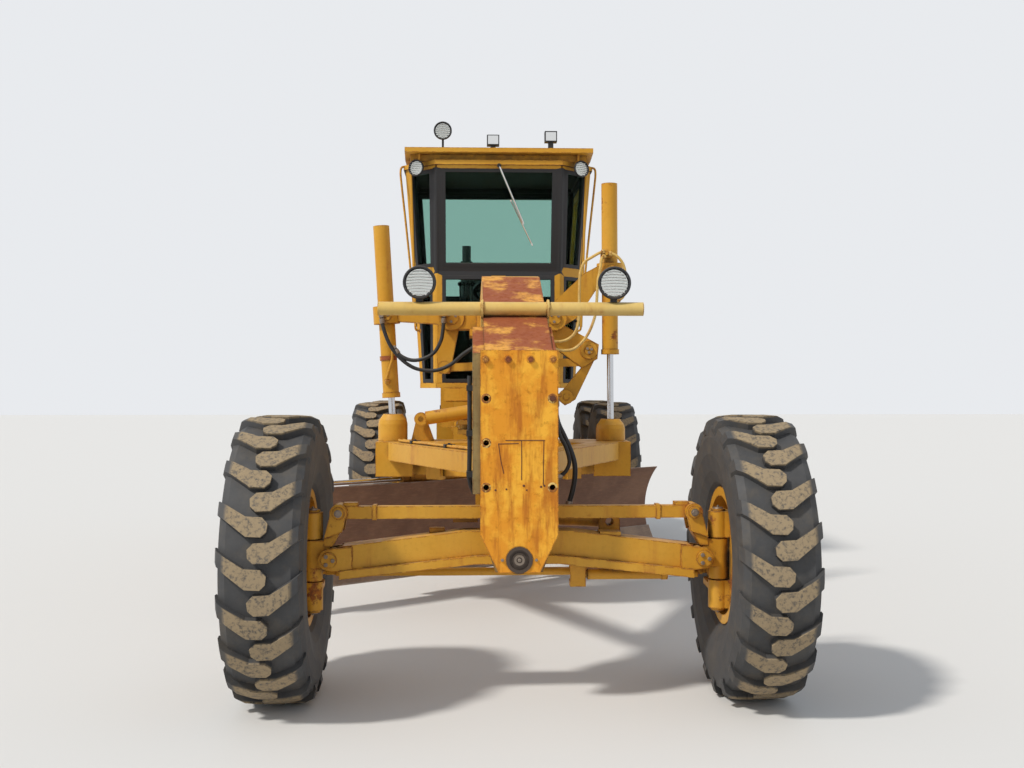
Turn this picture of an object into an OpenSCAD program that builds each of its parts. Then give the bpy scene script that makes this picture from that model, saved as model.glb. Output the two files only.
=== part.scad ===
// Motor grader standing on level ground.
// The front faces -Y, the left side is +X and up is +Z. Sizes are in millimetres.
// The origin lies on the ground under the middle of the front axle.

/* [Wheels] */
// Outside diameter of every tyre
tyre_d = 1370; // [1300:5:1420]
// Width of every tyre
tyre_w = 375; // [340:1:390]
// Diameter of the bead seats
bead_d = 610; // [580:5:630]
// Distance between the rim flanges
rim_w = 254; // [230:1:270]
// Number of lugs on each side of the tread
lug_n = 19; // [16:1:22]
// Height of the tread lugs
lug_h = 35; // [20:1:40]
// Distance between the front wheel centres
front_track = 2270; // [2200:5:2340]
// Distance between the rear wheel centres
rear_track = 2205; // [2150:5:2260]
// Front axle to the middle of the tandems
wheelbase = 5920; // [5850:5:6000]
// Distance between the two wheels of one side
tandem_gap = 1520; // [1490:5:1560]

/* [Front axle] */
// Kingpin to wheel centre
king_in = 150; // [145:1:160]
// Kingpin to lean pin
lean_in = 85; // [82:1:95]
// Lean pin to the pin of the lean bar, sideways
bar_in = 43; // [30:1:50]
// Height of the lean bar above the lean pin
bar_up = 220; // [210:1:228]
// Radius of the kingpins
king_r = 24; // [18:0.5:26]
// Radius of the lean pins
lean_r = 28; // [20:0.5:30]
// Radius of the lean bar pins
barpin_r = 20; // [14:0.5:24]
// Play around every running pin
play = 0.05; // [0.02:0.01:0.09]
// Seam between seated pieces
seat = 0.3; // [0.1:0.1:0.6]
// Length of the steering arms
arm_l = 190; // [175:1:200]

/* [Main frame] */
// Width of the front plate
plate_w = 360; // [320:2:400]
// Top of the front plate
plate_top = 1675; // [1600:5:1720]
// Thickness of the front plate
plate_t = 25; // [15:1:35]
// Front face of the front plate, ahead of the axle
plate_y = -300; // [-330:5:-280]
// Width of the post behind the front plate
post_w = 430; // [380:2:460]
// Width of the beam
beam_w = 320; // [280:2:340]
// Height of the pivot pin of the front axle
osc_z = 708; // [690:1:720]
// Distance of the bolt holes, sideways
bolt_dx = 306; // [280:2:320]
// Distance of the bolt holes, upwards
bolt_dz = 205; // [180:5:220]

/* [Light bar] */
// Diameter of the light bar
lbar_d = 69; // [50:1:80]
// Height of the light bar
lbar_z = 1900; // [1860:5:1940]
// Length of the light bar
lbar_l = 1340; // [1200:10:1500]
// Diameter of the headlamps
head_d = 165; // [140:1:180]

/* [Blade] */
// Length of the blade
blade_l = 3660; // [3400:10:3800]
// Thickness of the blade sheet
blade_t = 18; // [12:1:24]
// Angle of the blade across the machine
blade_a = 38; // [30:1:40]
// Distance of the circle's middle behind the front axle
circle_y = 2750; // [2720:5:2780]
// Outer radius of the circle
circle_r = 780; // [740:5:800]
// Width of the circle's ring
circle_w = 140; // [110:5:150]
// Number of teeth on the circle
tooth_n = 72; // [48:4:90]

/* [Lift cylinders] */
// Outer diameter of the lift cylinders
cyl_d = 110; // [95:1:120]
// Diameter of the lift rods
rod_d = 45; // [35:1:55]
// Length of the lift barrels
cyl_l = 1180; // [1150:5:1200]
// Distance of the lift cylinders behind the front axle
lift_y = 2360; // [2340:5:2380]

/* [Cab] */
// Width of the cab at the floor
cab_w = 1200; // [1160:5:1260]
// Width of the middle windscreen
screen_w = 967; // [900:1:990]
// Height of the cab floor
floor_z = 1500; // [1480:5:1520]
// Height of the cab under the roof
eave_z = 3250; // [3200:5:3300]
// Thickness of the cab posts
post_t = 46; // [40:1:52]
// Width of the frames round the panes
frame_w = 37; // [36:1:44]
// Thickness of the panes
pane_t = 6; // [4:0.5:8]

/* [Rear] */
// Width of the hood
hood_w = 1000; // [940:5:1040]
// Top of the hood
hood_z = 2250; // [2150:5:2300]
// Height of the tandem cases
case_h = 370; // [330:5:390]
// Play at the articulation
artic_play = 8; // [6:1:12]

/* [Hidden] */
$fn = 48;
wr = tyre_d / 2;
fx = front_track / 2;
rx = rear_track / 2;
y_mid = wheelbase - tandem_gap / 2;
y_rear = wheelbase + tandem_gap / 2;
wb = wheelbase;
kx = fx - king_in;
lx = kx - lean_in;
lz = wr - 5;
bx = lx - bar_in;
bz = lz + bar_up;
kb = lx / 900;
bead_r = bead_d / 2;
rim_in = bead_r - 17;
by0 = plate_y + plate_t + seat;
artic_y = 4850;
artic_z = 1000;
ball_y = 480;
ball_z = 1100;
blade_top = wr + 160;
ring_z0 = blade_top + 70;
ring_z1 = ring_z0 + 90;
draw_z0 = ring_z1 + 12;
draw_z1 = draw_z0 + 120;
lift_r = [-800, lift_y, 2000];
lift_l = [740, lift_y, 2300];
ball_r = [-755, lift_y, 1250];
ball_l = [745, lift_y, 1215];
sock_r = 100;
shift_top = [430, lift_y, 1440];
shift_ball = [-560, lift_y, 1290];
side_a = 3.9;
paint = [0.85, 0.62, 0.16];
dark = [0.12, 0.12, 0.13];
steel = [0.45, 0.33, 0.26];
chrome = [0.75, 0.76, 0.78];
rubber = [0.16, 0.16, 0.16];
glass = [0.35, 0.5, 0.48, 0.35];

// A box given by its six limits
module block(x0, x1, y0, y1, z0, z1) {
  translate([x0, y0, z0]) cube([x1 - x0, y1 - y0, z1 - z0]);
}
// A round bar from one point to another
module bar(p, q, d) {
  v = q - p;
  h = norm(v);
  translate(p) rotate([0, acos(v[2] / h), atan2(v[1], v[0])]) cylinder(h = h, d = d);
}
// A square bar from one point to another
module beam(p, q, a, b) {
  v = q - p;
  h = norm(v);
  translate(p) rotate([0, acos(v[2] / h), atan2(v[1], v[0])])
    translate([-a / 2, -b / 2, 0]) cube([a, b, h]);
}
module pin_x(x0, x1, y, z, d) {
  translate([x0, y, z]) rotate([0, 90, 0]) cylinder(h = x1 - x0, d = d);
}
module pin_y(x, y0, y1, z, d) {
  translate([x, y1, z]) rotate([90, 0, 0]) cylinder(h = y1 - y0, d = d);
}
module pin_z(x, y, z0, z1, d) {
  translate([x, y, z0]) cylinder(h = z1 - z0, d = d);
}
// A plate seen from the side, with its outline in Y and Z
module side_plate(x0, x1, pts) {
  translate([x0, 0, 0]) rotate([90, 0, 90]) linear_extrude(x1 - x0) polygon(pts);
}
// A plate seen from the front, with its outline in X and Z
module front_cut(y0, y1, pts) {
  translate([0, y1, 0]) rotate([90, 0, 0]) linear_extrude(y1 - y0) polygon(pts);
}
// A plate seen from above
module flat_plate(z0, z1, pts) {
  translate([0, 0, z0]) linear_extrude(z1 - z0) polygon(pts);
}
module both() {
  children();
  mirror([1, 0, 0]) children();
}
// A flat panel through points in space, centred on its thickness
module panel(pts, t) {
  o = pts[0];
  u = (pts[1] - o) / norm(pts[1] - o);
  w = cross(u, pts[len(pts) - 1] - o);
  n = w / norm(w);
  v = cross(n, u);
  multmatrix([
    [u[0], v[0], n[0], o[0]],
    [u[1], v[1], n[1], o[1]],
    [u[2], v[2], n[2], o[2]],
    [0, 0, 0, 1]
  ]) linear_extrude(t, center = true) polygon([for (p = pts) [(p - o) * u, (p - o) * v]]);
}

// Half of the carcass outline as radius and half width
function half_carcass() = let (b = bead_r, g = wr - lug_h - bead_r, w = tyre_w / 2, f = rim_w / 2 - seat) [
  [b + seat, f], [b + 29, f], [b + g * 0.15, w * 0.8], [b + g * 0.3, w * 0.92],
  [b + g * 0.54, w], [b + g * 0.78, w * 0.985], [b + g * 0.93, w * 0.92], [b + g * 0.99, w * 0.75],
  [b + g, 0]
];
function half_liner() = let (b = bead_r, g = wr - lug_h - bead_r, w = tyre_w / 2, f = rim_w / 2 - seat) [
  [b + g - 24, 0], [b + g * 0.94, w * 0.7], [b + g * 0.84, w * 0.86], [b + g * 0.54, w * 0.89],
  [b + g * 0.3, w * 0.8], [b + g * 0.08, f - 30], [b + seat, f - 32]
];
function flip(pts) = [for (i = [len(pts) - 1:-1:0]) [pts[i][0], -pts[i][1]]];
function drop_last(pts) = [for (i = [0:len(pts) - 2]) pts[i]];
function drop_first(pts) = [for (i = [1:len(pts) - 1]) pts[i]];

module lug(s) {
  k = tyre_w / 375;
  rotate([90, 0, 0]) translate([0, 0, wr - lug_h - 62]) linear_extrude(lug_h + 62)
    polygon([for (p = [[-190, 130], [-190, 68], [-50, -42], [14, -45], [38, -22], [42, 14], [16, 42], [-54, 46]])
      [s * k * p[0], p[1]]]);
}
module tyre() {
  c = half_carcass();
  l = half_liner();
  color(rubber) {
    rotate([0, 90, 0]) rotate_extrude($fn = 96)
      polygon(concat(c, drop_first(flip(c)), flip(l), drop_first(l)));
    intersection() {
      union() {
        for (i = [0:lug_n - 1]) {
          rotate([i * 360 / lug_n, 0, 0]) lug(1);
          rotate([(i + 0.5) * 360 / lug_n, 0, 0]) lug(-1);
        }
      }
      rotate([0, 90, 0]) rotate_extrude($fn = 96) polygon([
        [wr - lug_h - 70, -tyre_w * 0.48], [wr - 66, -tyre_w / 2], [wr - 22, -tyre_w * 0.46], [wr - 5, -tyre_w * 0.36],
        [wr, -tyre_w * 0.2], [wr, tyre_w * 0.2], [wr - 5, tyre_w * 0.36], [wr - 22, tyre_w * 0.46],
        [wr - 66, tyre_w / 2], [wr - lug_h - 70, tyre_w * 0.48]
      ]);
    }
  }
}
// The rim ring shared by every wheel
module rim_ring() {
  f = rim_w / 2;
  rotate([0, 90, 0]) rotate_extrude($fn = 96) polygon([
    [rim_in, -f - 9], [bead_r + 27, -f - 9], [bead_r + 27, -f], [bead_r, -f],
    [bead_r, f], [bead_r + 27, f], [bead_r + 27, f + 9], [rim_in, f + 9]
  ]);
}
// Front wheel disc with its hub, outward to +X
module front_rim() {
  color(paint) difference() {
    union() {
      rim_ring();
      pin_x(-40, -22, 0, 0, 2 * rim_in + 4);
      pin_x(-40, 75, 0, 0, 210);
      pin_x(75, 100, 0, 0, 150);
      for (i = [0:9]) rotate([i * 36, 0, 0]) pin_x(-23, -2, 0, 150, 34);
    }
    pin_x(-41, 60, 0, 0, 2 * (38 + play));
    for (i = [0:7]) rotate([i * 45 + 10, 0, 0]) pin_x(-41, -21, 0, 215, 60);
  }
}
module rear_rim() {
  color(paint) difference() {
    union() {
      rim_ring();
      pin_x(-14, 6, 0, 0, 2 * rim_in + 4);
      pin_x(-60, 62, 0, 0, 250);
      pin_x(60, 92, 0, 0, 170);
      for (i = [0:9]) rotate([i * 36, 0, 0]) pin_x(5, 26, 0, 165, 34);
    }
    pin_x(-61, 40, 0, 0, 2 * (55 + play));
    for (i = [0:7]) rotate([i * 45 + 10, 0, 0]) pin_x(-15, 7, 0, 225, 60);
  }
}

// Front axle beam with its forked ends
module axle_beam() {
  color(paint) {
    difference() {
      union() {
        front_cut(-70, 70, [
          [-850 * kb, lz - 62], [-200, osc_z - 46], [200, osc_z - 46], [850 * kb, lz - 62],
          [850 * kb, lz + 62], [260, osc_z + 105], [-260, osc_z + 105], [-850 * kb, lz + 62]
        ]);
        front_cut(-96, -70 + seat, [
          [-850 * kb, lz - 92], [-200, osc_z - 50], [200, osc_z - 50], [850 * kb, lz - 92],
          [850 * kb, lz - 52], [200, osc_z - 10], [-200, osc_z - 10], [-850 * kb, lz - 52]
        ]);
        pin_y(0, -96, 96, osc_z, 170);
        both() for (s = [-1, 1]) {
          front_cut(min(s * 56, s * 86), max(s * 56, s * 86), [
            [850 * kb - 60, lz - 62], [lx, lz - 50], [lx, lz + 50], [850 * kb - 60, lz + 62]
          ]);
          pin_y(lx, min(s * 56, s * 86), max(s * 56, s * 86), lz, 100);
        }
        block(400, 500, -60, 60, osc_z + 20, osc_z + 98);
        block(st_x - 38, st_x + 38, 14, 28, st_z - 55, st_z + 120);
        block(st_x - 38, st_x + 38, 14, st_y + 28, st_z - 55, st_z - 27);
        block(st_x - 38, st_x + 38, 14, st_y + 28, st_z + 27, st_z + 49);
        block(-425, -350, 20, 60, osc_z + 20, osc_z + 112);
        front_cut(78, 112, [[410, 640], [514, 640], [514, 850], [490, 884], [434, 884], [410, 850]]);
        block(410, 514, 60, 112, 640, 760);
      }
      both() translate([lx, 0, lz]) pin_y(0, -200, 200, 0, 2 * lean_r);
      both() block(lx - 60, lx + 80, -56, 56, lz - 80, lz + 80);
      pin_y(462, 0, 200, 840, 40);
    }
    pin_y(0, by0 + 1, 240, osc_z, 88);
    pin_z(st_x, st_y, st_z - 50, st_z + 45, 34);
    both() pin_y(lx, -100, 100, lz, 2 * lean_r);
    both() for (s = [-1, 1]) pin_y(lx, min(s * 86, s * 104), max(s * 86, s * 104), lz, 72);
  }
}
module lean_yoke() {
  color(paint) difference() {
    union() {
      pin_y(lx, -50, 50, lz, 96);
      block(lx, kx, -46, 46, lz - 46, lz + 88);
      pin_z(kx, 0, lz - 108, lz + 88, 92);
      front_cut(-50, 50, [
        [lx - 14, lz + 60], [kx - 58, lz + 60], [kx - 58, lz + 92], [lx, lz + 138], [lx - 58, lz + 138]
      ]);
      for (s = [-1, 1]) {
        front_cut(min(s * 44, s * 64), max(s * 44, s * 64), [
          [lx - 62, lz + 130], [kx - 60, lz + 100], [bx + 38, bz], [bx - 38, bz]
        ]);
        pin_y(bx, min(s * 44, s * 64), max(s * 44, s * 64), bz, 84);
      }
    }
    pin_y(lx, -120, 120, lz, 2 * (lean_r + play));
    translate([kx, 0, 0]) cylinder(h = 2000, r = king_r + play);
    block(lx - 120, lx + 70, -130, -53, lz - 60, lz + 60);
    block(lx - 120, lx + 70, 53, 130, lz - 60, lz + 60);
    pin_y(lx, -130, -53, lz, 2 * 58);
    pin_y(lx, 53, 130, lz, 2 * 58);
  }
  color(steel) {
    pin_y(bx, -44.5, 44.5, bz, 2 * barpin_r);
    for (s = [-1, 1]) pin_y(bx, min(s * 63, s * 78), max(s * 63, s * 78), bz, 56);
  }
}
// Steering knuckle: two lugs on the kingpin, a web and the spindle
module knuckle() {
  color(paint) {
    difference() {
      union() {
        for (r = [[lz - 250, lz - 114], [lz + 94, lz + 220]]) {
          pin_z(kx, 0, r[0], r[1], 96);
          block(kx, fx - 62, -42, 42, r[0], r[1]);
        }
        block(kx + 52, fx - 62, -70, 70, lz - 250, lz + 220);
        pin_x(kx + 52, fx - 46, 0, wr, 190);
      }
      translate([kx, 0, lz - 114]) cylinder(h = 208, r = 52);
    }
    pin_x(fx - 60, fx + 55, 0, wr, 2 * 38);
    pin_z(kx, 0, lz - 240, lz + 215, 2 * king_r);
    for (z = [lz - 262, lz + 218]) pin_z(kx, 0, z, z + 14, 70);
  }
}
// The arm reaches back from the lower lug to the ball stud of the tie rod
module steer_arm() {
  color(paint) {
    flat_plate(lz - 165, lz - 135, [[kx - 44, 0], [kx + 46, 0], [kx + 30, arm_l], [kx - 34, arm_l]]);
    pin_z(kx, arm_l, lz - 165, lz - 135, 64);
    pin_z(kx - 10, st_y, lz - 165, lz - 135, 56);
  }
  color(steel) pin_z(kx, arm_l, lz - 136, lz - 82, 30);
}
module lean_bar() {
  color(paint) {
    difference() {
      union() {
        block(-bx + 30, bx - 30, -30, 30, bz - 30, bz + 30);
        both() pin_y(bx, -40, 40, bz, 84);
        both() block(bx - 90, bx - 20, -26, 26, bz + 20, bz + 48);
        both() block(bx - 180, bx - 160, -36, 36, bz - 36, bz + 36);
      }
      pin_y(bx, -100, 100, bz, 2 * (barpin_r + play));
      pin_y(-bx, -100, 100, bz, 2 * (barpin_r + 7));
    }
    front_cut(29, 70, [[-310, bz - 55], [-190, bz - 55], [-190, bz + 25], [-310, bz + 25]]);
    front_cut(69, 112, [[-285, bz - 55], [-215, bz - 55], [-215, bz], [-285, bz]]);
  }
}
module tie_end() {
  color(paint) difference() {
    union() {
      pin_z(kx, arm_l, lz - 112, lz - 88, 60);
      block(kx - 76, kx, arm_l - 18, arm_l + 18, lz - 112, lz - 88);
    }
    pin_z(kx, arm_l, lz - 130, lz - 70, 2 * (15 + play));
  }
  color(steel) pin_y(kx - 60, arm_l - 40, arm_l + 40, lz - 100, 20);
}
module tie_rod() {
  color(paint) {
    bar([-kx + 90, arm_l, lz - 100], [kx - 104, arm_l, lz - 100], 40);
    bar([-kx + 36, arm_l, lz - 100], [-kx + 92, arm_l, lz - 100], 26);
    block(kx - 106, kx - 88, arm_l - 38, arm_l + 38, lz - 114, lz - 86);
    difference() {
      for (s = [-1, 1])
        block(kx - 90, kx - 46, min(arm_l + s * 22, arm_l + s * 38), max(arm_l + s * 22, arm_l + s * 38), lz - 114, lz - 86);
      pin_y(kx - 60, arm_l - 60, arm_l + 60, lz - 100, 2 * (10 + play));
    }
    difference() {
      pin_z(-kx, arm_l, lz - 106, lz - 94, 84);
      pin_z(-kx, arm_l, lz - 130, lz - 70, 60);
    }
  }
}

// Steering cylinder between the axle beam and the arm of the left knuckle
st_x = kx - 685;
st_y = 62;
st_z = lz - 95;
module steer_barrel() {
  color(paint) difference() {
    union() {
      pin_z(st_x, st_y, st_z - 22, st_z + 22, 56);
      pin_x(st_x + 17, st_x + 62, st_y, st_z, 40);
      pin_x(st_x + 50, st_x + 435, st_y, st_z, 54);
      pin_x(st_x + 415, st_x + 445, st_y, st_z, 60);
    }
    pin_z(st_x, st_y, st_z - 40, st_z + 40, 2 * (17 + play));
    pin_x(st_x + 100, st_x + 460, st_y, st_z, 2 * (16 + play));
  }
}
// The rod ends just short of its pin on the arm
module steer_rod() {
  color(chrome) pin_x(st_x + 260, st_x + 580, st_y, st_z, 32);
  color(paint) pin_x(st_x + 562, st_x + 596, st_y, st_z, 38);
}
// Lean cylinder between the axle beam and the lean bar
ln_a = [462, 140, 840];
ln_b = [-250, 140, bz - 30];
ln_u = (ln_b - ln_a) / norm(ln_b - ln_a);
module lean_barrel() {
  color(paint) difference() {
    union() {
      pin_y(ln_a[0], 122, 158, ln_a[2], 70);
      bar(ln_a + 20 * ln_u, ln_a + 430 * ln_u, 70);
      bar(ln_a + 410 * ln_u, ln_a + 438 * ln_u, 80);
    }
    pin_y(ln_a[0], 100, 200, ln_a[2], 2 * (18 + play));
    bar(ln_a + 80 * ln_u, ln_a + 500 * ln_u, 2 * (16 + play));
  }
}
module lean_rod() {
  color(chrome) bar(ln_a + 250 * ln_u, ln_b - 22 * ln_u, 32);
  color(paint) difference() {
    pin_y(ln_b[0], 121, 159, ln_b[2], 66);
    pin_y(ln_b[0], 110, 170, ln_b[2], 26);
  }
}

// Main frame: post, nose, beam, saddle and the tongue of the articulation
nose = [[-220, plate_top], [800, plate_top + 440]];
nose_m = 440 / 1020;
// Side and row of every bolt hole in the front plate
bolt_holes = [[-1, 0], [-1, 1], [-1, 2], [1, 0], [1, 2]];
module main_frame() {
  w = beam_w / 2;
  color(paint) difference() {
    union() {
      side_plate(-w, w, [
        [by0, 1010], [by0, plate_top - 12], nose[0], nose[1], [950, plate_top + 460], [2750, 2040],
        [3380, 1480], [4540, 1400], [4712, 1244], [4740, 1244], [4740, 950], [4600, 950], [4480, 1130], [3520, 1240],
        [3300, 1310], [2650, 1730], [1200, 1800], [480, 1340], [250, 1010]
      ]);
      side_plate(-post_w / 2, plate_w / 2 - 2, [
        [by0, 1010], [by0, plate_top - 12], [-235, plate_top - 12], [140, plate_top + 130], [200, 1500], [230, 1010]
      ]);
      front_cut(by0, by0 + 40, [[-110, osc_z - 60], [110, osc_z - 60], [170, 830], [170, 1012], [-170, 1012], [-170, 830]]);
      front_cut(200, 235, [[-90, osc_z - 80], [90, osc_z - 80], [200, 900], [200, 1012], [-200, 1012], [-200, 900]]);
      pin_y(0, 105, 202, osc_z, 100);
      pin_y(0, 186, 202, osc_z, 130);
      pin_y(0, by0 + 30, -105, osc_z, 150);
      pin_z(0, artic_y, 950, 1250, 220);
      block(-100, 100, 4700, artic_y, 950, 1250);
      block(-200, 200, 4150, 4350, 1100, 1200);
      both() flat_plate(1110, 1150, [[100, 4100], [330, 4180], [330, 4320], [100, 4400]]);
      both() flat_plate(1190, 1230, [[100, 4100], [330, 4180], [330, 4320], [100, 4400]]);
      both() pin_z(260, 4250, 1100, 1240, 50);
      block(-230, 230, lift_y - 190, lift_y + 190, 1850, 1900);
      both() side_plate(w - 1, w + 22, [[lift_y - 170, 1840], [lift_y + 170, 1840], [lift_y + 110, 2075], [lift_y - 110, 2075]]);
      both() block(w - 1, 430, 3450, 3530, 1400, floor_z - seat);
      both() block(w - 1, 430, 4450, 4530, 1380, floor_z - seat);
      side_plate(-100, 100, [[250, 1010], [300, 1000], [ball_y - 70, 1060], [ball_y - 70, 1140], [420, 1300], [380, 1320]]);
      bar([0, ball_y - 75, ball_z], [0, ball_y - 20, ball_z], 50);
      translate([0, ball_y, ball_z]) sphere(r = 48);
      block(-25, 25, 2960, 3040, 1690, 1990);
    }
    pin_z(0, artic_y, 900, 1300, 2 * (45 + play));
    pin_y(0, -400, 400, osc_z, 2 * (44 + play));
    for (h = bolt_holes) pin_y(h[0] * bolt_dx / 2, -320, -180, 1452 - h[1] * bolt_dz, 26);
    front_cut(-80, 80, [[-400, 836], [400, 836], [400, 962], [-400, 962]]);
  }
}
module front_plate() {
  w = plate_w / 2;
  color(steel) {
    difference() {
      front_cut(plate_y, plate_y + plate_t, [
        [-95, osc_z - 60], [95, osc_z - 60], [w, 820], [w, plate_top], [-w, plate_top], [-w, 820]
      ]);
      for (h = bolt_holes) pin_y(h[0] * bolt_dx / 2, -320, -260, 1452 - h[1] * bolt_dz, 26);
      pin_y(0, -400, -200, osc_z, 2 * (61 + seat));
    }
    for (i = [-1.5:1:1.5]) pin_y(i * 104, plate_y - 14, plate_y + 1, 1632, 30);
    difference() {
      pin_y(0, plate_y - 6, by0 - seat, osc_z, 122);
      pin_y(0, plate_y - 10, plate_y + 8, osc_z, 92);
    }
    pin_y(0, plate_y - 4, plate_y + 10, osc_z, 64);
  }
}
module light_bar() {
  a = atan(nose_m);
  y = nose[0][0] + (lbar_z - (lbar_d / 2 + seat) / cos(a) - plate_top) / nose_m;
  x0 = -lbar_l / 2 - 20;
  color([0.9, 0.8, 0.45]) difference() {
    pin_x(x0, x0 + lbar_l, y, lbar_z, lbar_d);
    pin_x(x0 - 1, x0 + lbar_l + 1, y, lbar_z, lbar_d - 12);
  }
  color(dark) both() {
    block(beam_w / 2 + seat, beam_w / 2 + 12, y - 12, y + 12, lbar_z - 170, lbar_z + 40);
    difference() {
      pin_x(beam_w / 2 + seat, beam_w / 2 + 12, y, lbar_z, lbar_d + 26);
      pin_x(beam_w / 2 - 1, beam_w / 2 + 20, y, lbar_z, lbar_d - 2);
    }
  }
}
// Cup of one round lamp facing -Y
module lamp_cup(d, t) {
  color(dark) rotate([90, 0, 0]) difference() {
    cylinder(h = t, d1 = d * 0.55, d2 = d);
    translate([0, 0, t - 45]) cylinder(h = 35.1, d1 = d * 0.42, d2 = d * 0.82);
    translate([0, 0, t - 10]) cylinder(h = 20, d = d * 0.9);
  }
}
module lamp_lens(d, t) {
  color(glass) rotate([90, 0, 0]) translate([0, 0, t - 10 + seat]) cylinder(h = 8, d = d * 0.9 - 2 * seat);
}
function lamp_bar_y() = nose[0][0] + (lbar_z - (lbar_d / 2 + seat) / cos(atan(nose_m)) - plate_top) / nose_m;
head_x = [-480, 500];
module at_headlamps() {
  for (x = head_x) translate([x, lamp_bar_y() + 30, lbar_z + lbar_d / 2 + seat + head_d / 2 + 12]) children();
}
module at_corner_lamps() {
  for (s = [-1, 1]) translate([s * 622, 3440, eave_z + 22 + seat - 62]) rotate([0, 0, s * 25]) children();
}
module work_lamps() {
  at_headlamps() lamp_cup(head_d, 70);
  color(dark) for (x = head_x)
    block(x - 16, x + 16, lamp_bar_y() - 16, lamp_bar_y() + 20, lbar_z + lbar_d / 2 + seat, lbar_z + lbar_d / 2 + 50);
  at_headlamps() lamp_lens(head_d, 70);
  at_corner_lamps() lamp_lens(128, 60);
  translate([-438, 3480, eave_z + 22 + seat + 235]) lamp_lens(140, 70);
}
// Bell cranks that carry the lift cylinders, with the link between them
module yoke_ring(p, b) {
  u = (b - p) / norm(b - p);
  difference() {
    union() {
      bar(p - 60 * u, p + 60 * u, cyl_d + 70);
      pin_y(p[0], p[1] - 100, p[1] + 100, p[2], 84);
    }
    bar(p - 200 * u, p + 200 * u, cyl_d + 16);
    pin_y(p[0], p[1] - 120, p[1] + 120, p[2], 2 * (24 + play));
  }
}
module lift_arms() {
  x0 = beam_w / 2 + 22 + seat;
  ya = lift_y - 45;
  yb = lift_y + 45;
  color(paint) {
    both() {
      block(x0, 350, lift_y - 100, lift_y + 100, 1900 + seat, 2065);
      pin_y(350, lift_y - 110, lift_y + 110, 1978, 170);
      pin_y(350, lift_y - 122, lift_y + 122, 1978, 90);
    }
    front_cut(ya, yb, [[-350, 1905], [-350, 2050], [-720, 2045], [-720, 1955], [-470, 1940]]);
    front_cut(ya, yb, [[-440, 1990], [-300, 1920], [-340, 1720], [-365, 1600], [-440, 1600], [-455, 1720]]);
    front_cut(ya, yb, [[300, 2045], [400, 1915], [520, 1990], [672, 2222], [662, 2345], [560, 2290]]);
    front_cut(ya, yb, [[280, 1960], [420, 1930], [660, 1800], [650, 1700], [545, 1640], [380, 1760]]);
    front_cut(lift_y - 20, yb, [[545, 1642], [630, 1690], [500, 1420], [430, 1380], [370, 1430]]);
    pin_y(590, ya - 22, yb + 10, 1760, 120);
    pin_y(590, ya - 34, yb, 1760, 60);
    pin_y(-403, ya - 20, yb + 10, 1640, 84);
    difference() {
      beam([-403, lift_y, 1640], [545, lift_y, 1680], 56, 70);
      block(-460, -420, 2200, 2500, 1500, 1700);
    }
    pin_y(shift_top[0], ya - 66, lift_y - 19, shift_top[2], 44);
    yoke_ring(lift_r, ball_r);
    yoke_ring(lift_l, ball_l);
  }
}
function cyl_u(p, b) = (b - p) / norm(b - p);
module lift_barrel(p, b) {
  u = cyl_u(p, b);
  up = cyl_l * 0.52;
  color(paint) difference() {
    union() {
      bar(p - up * u, p + (cyl_l - up) * u, cyl_d);
      bar(p + (cyl_l - up - 34) * u, p + (cyl_l - up) * u, cyl_d + 14);
      pin_y(p[0], p[1] - 98, p[1] + 98, p[2], 48);
    }
    bar(p - (up - 40) * u, p + (cyl_l + 10 - up) * u, rod_d + 2 * play);
  }
}
module lift_rod(p, b) {
  u = cyl_u(p, b);
  color(chrome) {
    bar(b - 1236 * u, b - 20 * u, rod_d);
    translate(b) sphere(r = 50);
  }
}
// Ball socket of a lift cylinder, standing on the drawbar and open at the back for the swing of the ball
module socket(b) {
  h = b[2] - draw_z1 + 1;
  translate(b) difference() {
    rotate_extrude($fn = 64) polygon([
      [0, -h], [sock_r, -h], [sock_r, 6], [sock_r - 6, 32], [sock_r - 26, 60], [sock_r - 34, 72], [40, 72],
      [40, 42], [52, 26], [58, 8], [58, -8], [50, -30], [34, -48], [0, -58]
    ]);
    pin_y(0, 4, sock_r + 10, 3, 124);
    block(-37, 37, 4, sock_r + 10, 0, 90);
  }
}
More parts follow.
